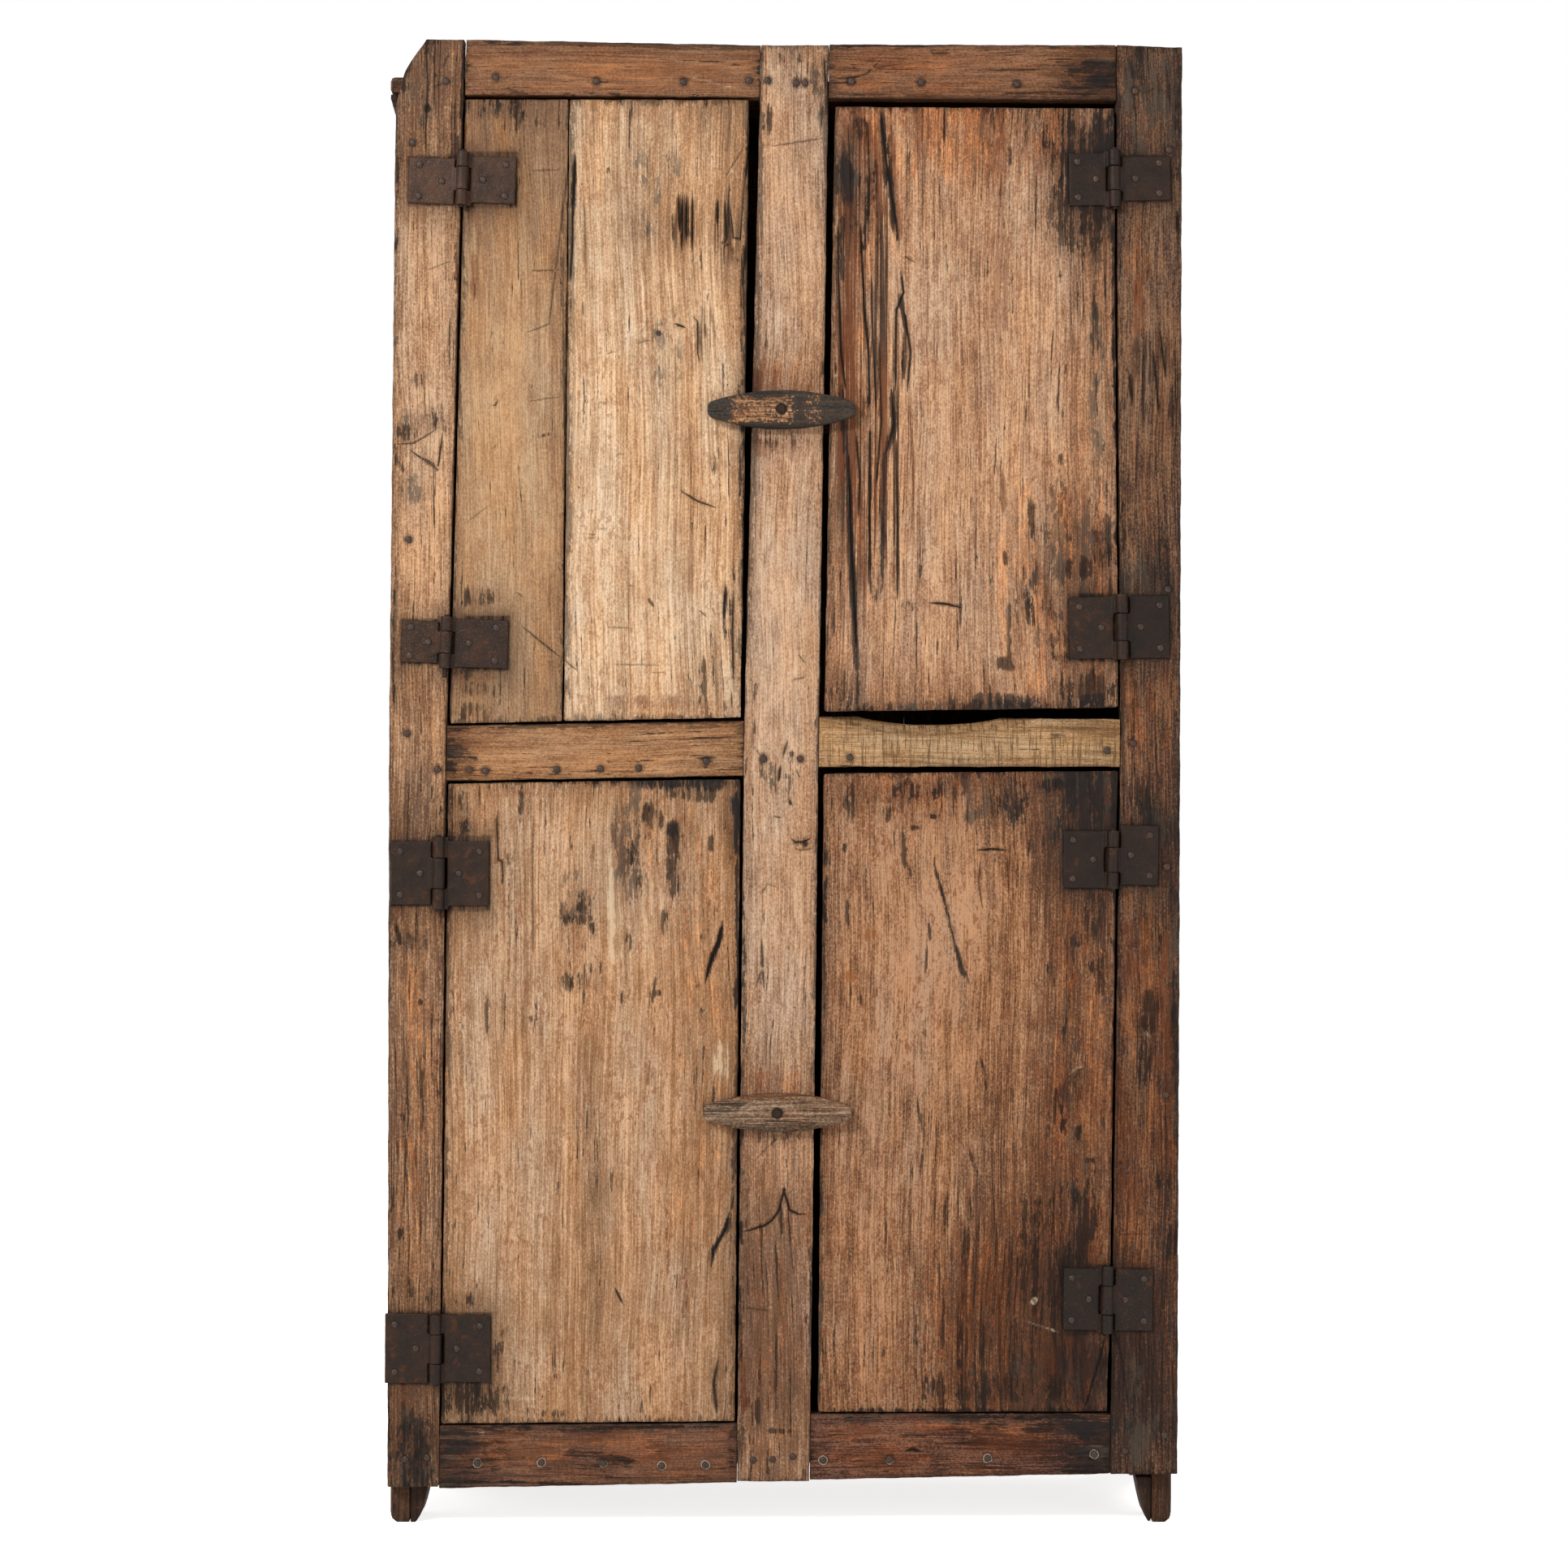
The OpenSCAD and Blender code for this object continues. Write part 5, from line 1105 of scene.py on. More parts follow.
def drive_nail(model, solid, turn):
    """A forged nail in place of a plain one: same place, head width and length."""
    low, high = solid.min(0), solid.max(0)
    size, middle = high - low, (low + high) / 2
    axis = int(np.argmax(size))
    across = [i for i in range(3) if i != axis]
    spread = np.hypot(*(solid[:, across] - middle[across]).T)
    radius = spread.max()
    seat = middle.copy()
    seat[axis] = solid[spread > radius * .98][:, axis].mean()
    towards = -1 if seat[axis] < middle[axis] else 1
    length = abs(seat[axis] - (high[axis] if towards < 0 else low[axis]))
    nail = model.copy()
    nail.data = model.data.copy()
    bpy.context.scene.collection.objects.link(nail)
    places = vertices(nail)
    c, s = math.cos(turn), math.sin(turn)
    round_x = places[:, 0] * c - places[:, 2] * s
    round_z = places[:, 0] * s + places[:, 2] * c
    along = np.where(places[:, 1] > 0, places[:, 1] * length, places[:, 1] * radius)
    direction = Vector([towards if i == axis else 0 for i in range(3)])
    aim = np.array(Vector((0, -1, 0)).rotation_difference(direction).to_matrix())
    placed = np.stack([round_x * radius, along, round_z * radius], 1) @ aim.T
    set_vertices(nail, placed + seat)
    return nail


def drive_nails(node, model):
    """Forged nails where a node has its plain ones."""
    places = vertices(frame["nodes"][node])
    made = []
    for number, (low, high) in enumerate(islands(node)):
        inside = ((places >= low - 1e-6) & (places <= high + 1e-6)).all(1)
        made.append(drive_nail(model, places[inside], number * NAIL_TURN))
    whole = take(*made)
    if len(made) > 1:
        bpy.ops.object.join()
    whole.name = whole.data.name = node + "_forged"
    recalculate(whole)
    smooth(whole, 40)
    hand_over(whole, node)
    return whole


def clouds(name, size):
    texture = bpy.data.textures.get(name) or bpy.data.textures.new(name, "CLOUDS")
    texture.noise_scale = size
    texture.noise_depth = 2
    return texture


def remeshed(node, voxel, uneven, grain, keep=1, swell=.5):
    """A copy of a node rounded by remeshing and made uneven; fewer faces when keep is below 1."""
    piece = welded_copy(node, node + "_worn")
    apply_modifier(piece, "REMESH", mode="VOXEL", voxel_size=voxel)
    apply_modifier(piece, "DISPLACE", texture=clouds(f"unevenness {grain}", grain),
                   texture_coords="LOCAL", strength=uneven, mid_level=swell)
    if keep < 1:
        apply_modifier(piece, "DECIMATE", ratio=keep)
    return piece


def mark_edges(piece, reach):
    """Nearness of a plank's surface to its long edges, for the wear on them."""
    places = vertices(piece)
    low, high = places.min(0), places.max(0)
    gaps = np.sort(np.minimum(places - low, high - places), axis=1)
    edge = np.exp(-gaps[:, 1] / reach)
    set_attribute(piece, "wear", [edge, *np.zeros((2, len(edge)))])


def mark_nails(piece):
    """Distance of a piece's surface past the rims of the nail heads on it."""
    x, y, z = vertices(piece).T
    past = past_nails(x, z, y.min())
    set_attribute(piece, "nails", [past, *np.zeros((2, len(past)))])


def worn_plank(node, sizes, voxel=None, keep=PLANK_KEEP):
    """A plank of the carcass with uneven faces and worn edges."""
    swell = .1 if node.startswith(ON_JOINTS) else .5
    piece = remeshed(node, voxel or sizes.plank_voxel, *PLANK_UNEVEN, keep, swell)
    places = vertices(piece)
    places[:, 2] = np.maximum(places[:, 2], 0)    # nothing sinks into the floor
    set_vertices(piece, places)
    mark_edges(piece, PLANK_EDGE)
    smooth(piece, 40)
    hand_over(piece, node)
    return piece


def forged_leaf(node, sizes):
    """A hinge leaf with hammered faces and an uneven outline."""
    piece = remeshed(node, sizes.leaf_voxel, sizes.hammered, LEAF_UNEVEN)
    mark_edges(piece, LEAF_EDGE)
    mark_nails(piece)
    smooth(piece, 60)
    hand_over(piece, node)
    return piece


def worn_button(node, sizes):
    """A turn button rubbed round by hands, with its length and height kept for its colours."""
    piece = remeshed(node, sizes.button_voxel, *BUTTON_UNEVEN)
    places = vertices(piece)
    foremost, rearmost = (corner.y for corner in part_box(node))
    places[:, 1] = np.clip(places[:, 1], foremost, rearmost - .2 * MM)    # clear of the boards
    low, high = places.min(0), places.max(0)
    middle, half = (low + high) / 2, (high - low) / 2
    share = (places - middle) / half
    tip = np.clip((abs(share[:, 0]) - BUTTON_TIP) / (1 - BUTTON_TIP), 0, 1)
    places[:, 2] = middle[2] + (places[:, 2] - middle[2]) * np.sqrt(1 - .8 * tip ** 2)
    set_vertices(piece, places)
    smooth(piece, 60)
    set_attribute(piece, "shares", [share[:, 0], share[:, 2], share[:, 1]])
    mark_nails(piece)
    hand_over(piece, node)
    return piece


# ---- Shader nodes ----
def arithmetic(operation, turned=False):
    """An operator of Field that adds a Math node, with its two values exchanged if turned."""
    def work(self, other):
        return self.nodes.math(operation, *((other, self) if turned else (self, other)))
    return work


class Field:
    """A value or colour that a shader works out, with plain arithmetic on it."""

    def __init__(self, nodes, socket):
        self.nodes, self.socket = nodes, socket

    def __abs__(self):
        return self.nodes.math("ABSOLUTE", self)

    __add__, __radd__ = arithmetic("ADD"), arithmetic("ADD", True)
    __sub__, __rsub__ = arithmetic("SUBTRACT"), arithmetic("SUBTRACT", True)
    __mul__, __rmul__ = arithmetic("MULTIPLY"), arithmetic("MULTIPLY", True)
    __truediv__ = arithmetic("DIVIDE")


class Outputs:
    """A node's outputs as fields, by name or number."""

    def __init__(self, nodes, sockets):
        self.nodes, self.sockets = nodes, sockets

    def __getitem__(self, key):
        return Field(self.nodes, self.sockets[key])


class Nodes:
    """Adds and wires the nodes of one material, world or group."""

    def __init__(self, tree):
        self.tree = tree
        tree.nodes.clear()

    def add(self, kind, inputs=None, **settings):
        node = self.tree.nodes.new("ShaderNode" + kind)
        for name, value in settings.items():    # a group's tree comes before its sockets
            setattr(node, name, value)
        for key, value in (inputs or {}).items():
            if isinstance(value, Field):
                self.tree.links.new(value.socket, node.inputs[key])
            else:
                node.inputs[key].default_value = value
        return Outputs(self, node.outputs)

    def math(self, operation, *values, clamp=False):
        return self.add("Math", dict(enumerate(values)), operation=operation, use_clamp=clamp)[0]

    def vector(self, operation, *values):
        return self.add("VectorMath", dict(enumerate(values)), operation=operation)[0]

    def mix(self, share, first, second, blend="MIX"):
        return self.add("Mix", {0: share, 6: first, 7: second}, data_type="RGBA",
                        blend_type=blend)[2]

    def tint(self, colour, by):
        return self.mix(1., colour, by, "MULTIPLY")

    def noise(self, place, stretch, detail=2., roughness=.5, warp=0.):
        """Noise with so many waves per metre along x, y and z, or along all three."""
        if isinstance(stretch, float):
            stretch = (stretch,) * 3
        return self.add("TexNoise", {"Vector": self.vector("MULTIPLY", place, stretch),
                                     "Scale": 1., "Detail": detail, "Roughness": roughness,
                                     "Distortion": warp})["Fac"]

    def ramp(self, value, low, high, to_low=0., to_high=1., kind="SMOOTHSTEP"):
        return self.add("MapRange", {0: value, 1: low, 2: high, 3: to_low, 4: to_high},
                        interpolation_type=kind)[0]

    def line(self, *limits):
        """A ramp that rises evenly."""
        return self.ramp(*limits, kind="LINEAR")

    def attribute(self, name):
        stored = self.add("Attribute", attribute_name=name)["Vector"]
        return self.add("SeparateXYZ", {0: stored})

    def group(self, build, **inputs):
        return self.add("Group", inputs, node_tree=build())

    def moved(self, index, step, turn=(0, 0, 0)):
        """Object coordinates, moved so that no two pieces match, and turned."""
        return self.add("Mapping", {"Vector": self.add("TexCoord")["Object"],
                                    "Location": [index * part for part in step],
                                    "Rotation": turn})[0]

    def straight_rays(self):
        """1 for rays from the camera, straight, mirrored or through glass."""
        rays = self.add("LightPath")
        return self.math("MAXIMUM", rays["Is Camera Ray"], self.math(
            "MAXIMUM", rays["Is Glossy Ray"], rays["Is Transmission Ray"]))

    def finish(self, colour, rough, height, distance, specular, metallic=0.):
        """The Principled shader, its bump worked out from a height in 0 to 1."""
        bump = self.add("Bump", {"Strength": .8, "Distance": distance, "Height": height})[0]
        shader = self.add("BsdfPrincipled", {
            "Base Color": colour, "Roughness": rough, "Metallic": metallic,
            "Specular IOR Level": specular, "Normal": bump})[0]
        self.add("OutputMaterial", {"Surface": shader})


COLOUR_SOCKETS = ("Color", "Dark", "Body", "Pale", "Soot", "Iron", "Rust", "Worn")


def shader_group(name, takes, gives):
    """Makes a function that wires a node group into one that builds it once and returns it."""
    def kind(words):
        return "NodeSocket" + ("Vector" if words == "Place" else
                               "Color" if words in COLOUR_SOCKETS else "Float")

    def wrap(fill):
        def build():
            tree = bpy.data.node_groups.get(name)
            if tree:
                return tree
            tree = bpy.data.node_groups.new(name, "ShaderNodeTree")
            nodes = Nodes(tree)
            for way, sockets in (("INPUT", takes), ("OUTPUT", gives)):
                for words in sockets.split():
                    tree.interface.new_socket(words, in_out=way, socket_type=kind(words))
            entry = tree.nodes.new("NodeGroupInput")
            end = tree.nodes.new("NodeGroupOutput")
            for words, field in fill(nodes, Outputs(nodes, entry.outputs)).items():
                tree.links.new(field.socket, end.inputs[words])
            return tree
        return build
    return wrap


@shader_group("Plank Grain", "Place Tone Contrast Lines Flecks Dirt Dark Body Pale Soot",
              "Color Height Ragged Cloudy")
def plank_grain(n, given):
    """Long grain: bands, streaks, fibres and mottling between a dark and a pale tone."""
    place, tone, contrast = given["Place"], given["Tone"], given["Contrast"]
    sway = n.noise(place, (3., 3., 1.6))
    fine_sway = n.noise(place, (30., 26., 9.))
    drift = (sway - .5) * .05 + (fine_sway - .5) * .0035
    bent = n.vector("ADD", place, n.add("CombineXYZ", {0: drift})[0])
    bands = n.noise(bent, (16., 6., .5), 3.)
    streaks = n.noise(bent, (85., 40., 1.5), 5., .62)
    lines = n.noise(bent, (290., 150., 2.2), 3., .62)
    hair = n.noise(bent, (640., 380., 16.), 3., .68)
    blotch = n.noise(place, (10., 10., 6.), 4., .6)
    mottle = n.noise(place, (70., 60., 30.), 5., .72)
    speck = n.noise(place, (420., 420., 300.), 3., .7)
    grit = n.noise(place, (260., 260., 70.), 4., .75)
    level = .5 + tone + (lines - .5) * given["Lines"] * contrast
    for part, weight in ((bands, 1.7), (streaks, 1.25), (hair, 3.8), (blotch, 1.7),
                         (mottle, 2.6), (speck, 3.6)):
        level += (part - .5) * weight * contrast
    colour = n.mix(n.line(level, -.1, .5), given["Dark"], given["Body"])
    colour = n.mix(n.line(level, .5, 1.1), colour, given["Pale"])
    shade = n.line(level, -.9, -.05, .5, 1.) * n.line(level, 1.05, 1.7, 1., 1.22)
    colour = n.tint(colour, n.add("CombineXYZ", {0: shade, 1: shade, 2: shade})[0])
    hue = n.line(n.noise(place, (24., 20., 6.), 3., .6), .36, .64)
    colour = n.tint(colour, n.mix(hue, (1.09, .97, .84, 1), (.99, 1.01, 1.04, 1)))
    flecks = n.ramp(n.noise(bent, (230., 150., 95.), 3., .65), .56, .615)
    flecks = flecks * n.ramp(blotch, .36, .56) * given["Flecks"]
    colour = n.mix(flecks * .75, colour, n.mix(.65, given["Dark"], (.3, .085, .028, 1)))
    dirty = (given["Dirt"] + tone * -.5) * .16
    pores = n.noise(bent, (250., 140., 8.), 5., .68) + (mottle - .5) * .5 + dirty
    checks = n.ramp(pores, .655, .7)
    colour = n.mix(checks * .82, colour, given["Soot"])
    height = streaks * .4 + lines * .4 + hair * .3 + speck * .25 - checks * .35
    ragged = streaks * .3 + mottle * .25 + lines * .25 + grit * .2
    cloudy = mottle * .5 + grit * .25 + streaks * .25
    return {"Color": colour, "Height": height, "Ragged": n.line(ragged, .43, .57),
            "Cloudy": n.line(cloudy, .42, .58)}


@shader_group("Ragged Stain", "Amount Ragged", "Cover")
def ragged_stain(n, given):
    """How far a stain covers the wood: soft where it is thin, ragged along its rim."""
    amount = given["Amount"]
    patchy = amount * .85 + (given["Ragged"] - .5) * 1.3
    crisp = n.ramp(patchy, .4, .58) * n.ramp(amount, .02, .3)
    return {"Cover": n.math("ADD", amount * .28, crisp * .72, clamp=True)}


@shader_group("Split Line", "Offset Strength Width Ragged", "Line")
def split_line(n, given):
    """The dark line of a crack and its soft shade, from its offset, strength and width."""
    away = abs(given["Offset"] + (given["Ragged"] - .5) * .7)
    away = away / n.math("MAXIMUM", given["Width"] * .5, .02)
    core = 1. - n.ramp(away, .55, 1.35)
    shade = (1. - n.ramp(away, 1., 4.)) * .35
    line = n.math("MULTIPLY", n.math("MAXIMUM", core, shade), given["Strength"], clamp=True)
    return {"Line": line * n.ramp(given["Width"], .05, .4)}


@shader_group("Wormholes", "Place Density", "Hole")
def wormholes(n, given):
    """Round beetle holes scattered thinly over the wood."""
    flat = n.vector("MULTIPLY", given["Place"], (45., 12., 38.))
    cells = n.add("TexVoronoi", {"Vector": flat, "Scale": 1., "Randomness": 1.})
    chance = n.add("TexWhiteNoise", {"Vector": cells["Position"]},
                   noise_dimensions="3D")["Value"]
    kept = n.math("LESS_THAN", chance, given["Density"])
    return {"Hole": (1. - n.ramp(cells["Distance"], .022, .045)) * kept}


@shader_group("Saw Marks", "Place Strength", "Mark")
def saw_marks(n, given):
    """Fine marks of a saw across the grain, in patches."""
    teeth = n.ramp(n.noise(given["Place"], (16., 16., 330.), 3., .75), .5, .6)
    patch = n.ramp(n.noise(given["Place"], (12., 12., 7.)), .34, .5)
    return {"Mark": teeth * patch * given["Strength"]}


@shader_group("Forged Iron", "Place Rusting Dust Edge Nails Iron Rust Worn",
              "Color Roughness Height")
def forged_iron(n, given):
    """Hammered iron: a dark skin, rust blooms, a little bright wear and dust."""
    rusting, pit = given["Rusting"], (.004, .003, .0025, 1)
    broad = n.noise(given["Place"], 38., 4., .6)
    patch = n.noise(given["Place"], 75., 5., .62, .4)
    grit = n.noise(given["Place"], 900., 3., .6)
    colour = n.mix(n.line(broad * .6 + grit * .4, .38, .62), n.mix(.55, given["Iron"], pit),
                   n.tint(given["Iron"], (1.55, 1.32, 1.12, 1)))
    bloom = n.ramp(patch * .7 + broad * .3, .66 - rusting * .22, .74 - rusting * .18)
    colour = n.mix(bloom * .6, colour, given["Rust"])
    bright = n.ramp(given["Edge"], .45, 1.) * n.ramp(patch, .42, .6)
    colour = n.mix(bright * .35, colour, given["Worn"])
    colour = n.mix(n.ramp(grit, .62, .7) * given["Dust"], colour, (.5, .45, .4, 1))
    # Painted shade: a dark ring on the leaf round the rim of each nail head
    painted_shade = 1. - n.ramp(abs(given["Nails"]), .6, 1.5)
    colour = n.mix(painted_shade * .85, colour, pit)
    rough = .42 + bloom * .35 + (grit - .5) * .25
    height = patch * .5 + (grit * .18 + broad * .3)
    return {"Color": colour, "Roughness": rough, "Height": height}


# ---- Materials ----
# Strength of the figure, fine lines, red-brown flecks, beetle holes, dirt in the grain,
# red and ink blotches
PLAIN_FIGURE = (.8, 2.2, .1, .15, .3, .2, .2)
FIGURE = {
    "upper_left_door_latch_board": (.75, 4., .7, .1, .05, 0, .1),
    "upper_left_door_hinge_board": (.6, 1.5, .4, .1, .1, .05, .05),
    "upper_right_door_board": (.85, 2.6, .7, .1, .2, .3, .15),
    "lower_left_door_board": (.75, 3.2, .9, .35, .1, .1, .05),
    "lower_right_door_board": (.97, 2., .9, .3, .15, .4, .15),
    "left_stile": (.8, 2.2, .5, .25, .2, .2, .2),
    "centre_stile": (.75, 1.6, .4, .2, .05, .25, .1),
    "right_stile": (.95, 1.6, .4, .3, .3, .45, .45),
    "top_left_rail": (.75, 2.2, .1, .1, .1, .1, .05),
    "top_right_rail": (.9, 2., .1, .1, .3, .15, .2),
    "middle_left_rail": (.8, 2.2, .5, .1, .15, .15, .05),
    "middle_right_rail": (.88, 2.4, 0, .1, -.1, 0, 0),
    "bottom_left_rail": (.8, 1.8, .1, .1, .3, .4, .3),
    "bottom_right_rail": (1.1, 1.8, .1, .1, .4, .5, .3),
    "left_side_front_plank": (.65, 1.4, .2, .15, .2, .2, .2),
    "right_side_front_plank": (.65, 1.4, .2, .15, .2, .2, .2),
    "foot_blocks": (.5, 1., .1, .1, .2, .2, .2)}
# Boards that keep the marks of the saw, and how strongly
SAWN = {"middle_right_rail": .9, "top_left_rail": .25, "bottom_left_rail": .3}
# Waves per metre of the furrows, and where they are shorter
LONG_FURROWS = (165., 60., 1.5)
FURROWS = {"upper_left_door_latch_board": (210., 90., 5.)}
# Boards with pale rings round their nails
RINGED = ("bottom_left_rail", "bottom_right_rail")

# How rusty, dusty and light the ironwork is
PLAIN_IRON = (.3, .1, 1.)
IRON_LOOKS = {
    "frame_nails": (.6, .3, 1.5), "frame_leaf_nails": (.5, .4, 1.5),
    "upper_left_door_nails": (.5, .3, 1.8), "upper_right_door_nails": (.5, .3, 1.7),
    "lower_left_door_nails": (.6, .3, 1.35), "lower_right_door_nails": (.4, .4, 1.3),
    "upper_left_top_frame_leaf": (.35, .4, 2.7), "upper_left_top_door_leaf": (.3, .25, 2.2),
    "upper_left_bottom_frame_leaf": (.6, .5, 1.5), "upper_left_bottom_door_leaf": (.5, .25, 1.4),
    "upper_right_top_frame_leaf": (.2, .1, 1.), "upper_right_top_door_leaf": (.35, .1, .8),
    "upper_right_bottom_frame_leaf": (.3, .05, .65),
    "upper_right_bottom_door_leaf": (.5, .1, 1.),
    "lower_left_top_frame_leaf": (.45, .1, 1.), "lower_left_top_door_leaf": (.6, .1, 1.15),
    "lower_left_bottom_frame_leaf": (.55, .1, 1.1), "lower_left_bottom_door_leaf": (.6, .1, 1.),
    "lower_right_top_frame_leaf": (.3, .1, .8), "lower_right_top_door_leaf": (.35, .05, .7),
    "lower_right_bottom_frame_leaf": (.5, .2, .7), "lower_right_bottom_door_leaf": (.35, .15, .6)}


# How far the pattern of the wood and of the iron moves from one node to the next
WOOD_SHIFT = (3.1, 1.7, 2.3)
IRON_SHIFT = (1.3, 0, .7)


def new_material(name):
    material = bpy.data.materials.new(name)
    material.use_nodes = True
    return material


def order(node):
    return sorted(frame["nodes"]).index(node)


def palette(colours):
    """The add-on's colours as the shaders take them, by their names without _colour."""
    return {name.removesuffix("_colour"): (*getattr(colours, name), 1.)
            for name in ArmoireColours.__annotations__}


class Wood(Nodes):
    """The material of a worn piece of wood, laid layer by layer on its grain."""

    def __init__(self, node, paints):
        self.material, self.paints = new_material(node + "_wood"), paints
        super().__init__(self.material.node_tree)

    def lay_grain(self, finish, index, lying, **figure):
        self.place = self.moved(index, WOOD_SHIFT, (0, math.pi / 2 if lying else 0, 0))
        tones = {part.title(): self.paints[f"{finish}_{part}"] for part in TONES}
        self.grain = self.group(plank_grain, Place=self.place, Soot=self.paints["soot"],
                                **tones, **figure)
        self.colour, self.ragged = self.grain["Color"], self.grain["Ragged"]

    def over(self, share, colour):
        """Lays a colour, or a paint by its name, over what is there."""
        if isinstance(colour, str):
            colour = self.paints[colour]
        self.colour = self.mix(share, self.colour, colour)

    def cover(self, amount, rim):
        return self.group(ragged_stain, Amount=amount, Ragged=rim)["Cover"]

    def stain(self, amount, strength, colour):
        self.over(self.cover(amount, self.ragged) * strength, colour)

    def broken(self, zone, everywhere, stretch, shift):
        """A zone, and a little of it everywhere, broken up by noise."""
        moved = self.vector("ADD", self.place, (shift, shift * .7, shift * .3))
        field = self.line(self.noise(moved, stretch, 4., .65), .4, .6, .25, 1.2)
        return (zone + everywhere * .3) * field

    def varnish(self, zone, everywhere):
        """Old varnish, partly flaked off."""
        glaze = self.cover(self.broken(zone, everywhere, (34., 24., 9.), 3.), self.ragged)
        flaked = self.ramp(self.noise(self.place, (44., 34., 11.), 5., .74), .46, .54)
        coat = self.mix(flaked, (.64, .49, .41, 1), (1.5, 1.14, .83, 1))
        self.over(glaze * .85, self.tint(self.colour, coat))
        self.over(glaze * .2, "varnish")

    def furrows(self, zone, stretch):
        """Deep weathered furrows along the grain. Returns how far they reach."""
        furrow = self.ramp(self.noise(self.place, stretch, 4., .7), .45, .51, 1., 0.)
        furrow = furrow * self.ramp(zone, .1, .7)
        patch = self.ramp(self.noise(self.place, (50., 30., 5.)), .42, .58)
        self.over(furrow * .85, self.mix(patch, self.paints["tannin"], self.paints["soot"]))
        return furrow

    def weather(self, zone, everywhere):
        """Gloom, then a blackened or greyed skin in clouds."""
        self.over(self.math("MULTIPLY", zone, .55, clamp=True),
                  self.tint(self.colour, (.5, .44, .42, 1)))
        skin = self.cover(self.broken(zone, everywhere, (50., 36., 16.), 8.),
                          self.grain["Cloudy"])
        bleached = self.ramp(self.noise(self.place, (26., 20., 8.), 4., .65), .44, .56)
        self.over(skin * .8, self.mix(bleached, self.paints["ink"], self.paints["slate"]))

    def nail_dirt(self, nails):
        # A darker, ragged halo in soot colour round each nail head
        self.over(self.ramp(nails, .3, 5., 1., 0.) * self.ramp(self.ragged, 0., 1., .2, .75),
                  "soot")

    def nail_rings(self, nails):
        """Pale rings in the wood round some of the nails."""
        ring = abs(nails - .7 + (self.noise(self.place, 160.) - .5) * 4.)
        ring = self.ramp(ring, .3, 1., 1., 0.) * self.ramp(
            self.noise(self.place, 14.), .42, .52)
        self.over(ring * .75, (.5, .41, .31, 1))

    def pits(self, crack, holes):
        """Cracks and beetle holes. Returns how deep they are."""
        line = self.group(split_line, Offset=crack[0], Strength=crack[1], Width=crack[2],
                          Ragged=self.ragged)["Line"]
        hole = self.group(wormholes, Place=self.place, Density=holes)["Hole"]
        pit = self.math("MAXIMUM", line, hole)
        self.over(pit * .95, (.005, .004, .003, 1))
        return pit


def wood_material(node, finish, paints):
    """Worn wood: grain, washes, stains, cracks, beetle holes and grime."""
    wood = Wood(node, paints)
    stains, marks, wear, zones, crack = map(
        wood.attribute, ("stains", "marks", "wear", "zones", "crack"))
    contrast, lines, flecks, holes, dirt, red, ink = FIGURE.get(node, PLAIN_FIGURE)
    lying = node in RAILS + SHELVES + ("top_cove",) or node.endswith("_ledges")
    wood.lay_grain(finish, order(node), lying, Tone=wear[1], Contrast=contrast, Lines=lines,
                   Flecks=flecks, Dirt=dirt)
    wood.varnish(zones[0], red)
    wood.stain(stains[2], .72, "tannin")
    wood.stain(marks[1], .7, "rust")
    wood.stain(marks[0], .8, "scrape")
    furrow = wood.furrows(zones[2], FURROWS.get(node, LONG_FURROWS))
    wood.weather(zones[1], ink)
    # Darker along the edges: dirt, and on the front boards painted shade at their joints too
    wood.stain(wear[0] * .8, .8, "soot")
    # Grime and painted shade round the iron, with a dark painted contact shadow at its rim, laid in
    # soot colour
    wood.over(marks[2] * wood.line(wood.ragged, 0., 1., .5, .85), "soot")
    streaky = wood.ramp(wood.noise(wood.place, (200., 120., 14.), 4., .7), .38, .54, .62, 1.15)
    wood.stain(stains[0] * streaky, .92, "soot")
    wood.stain(stains[1] * streaky, .9, "ink")
    wood.over(wear[2] * .7, "soot")
    nails = wood.attribute("nails")[0]
    if node in FRONT_BOARDS:
        wood.nail_dirt(nails)
    if node in RINGED:
        wood.nail_rings(nails)
    if node in SAWN:
        sawn = wood.group(saw_marks, Place=wood.place, Strength=SAWN[node])["Mark"]
        wood.over(sawn, wood.mix(.45, paints[finish + "_dark"], paints["soot"]))
    pit = wood.pits(crack, holes)
    height = wood.grain["Height"] - pit * .9 - furrow * .5
    wood.finish(wood.colour, wood.line(wood.ragged, 0., 1., .6, .8), height, .0022, .12)
    return wood.material


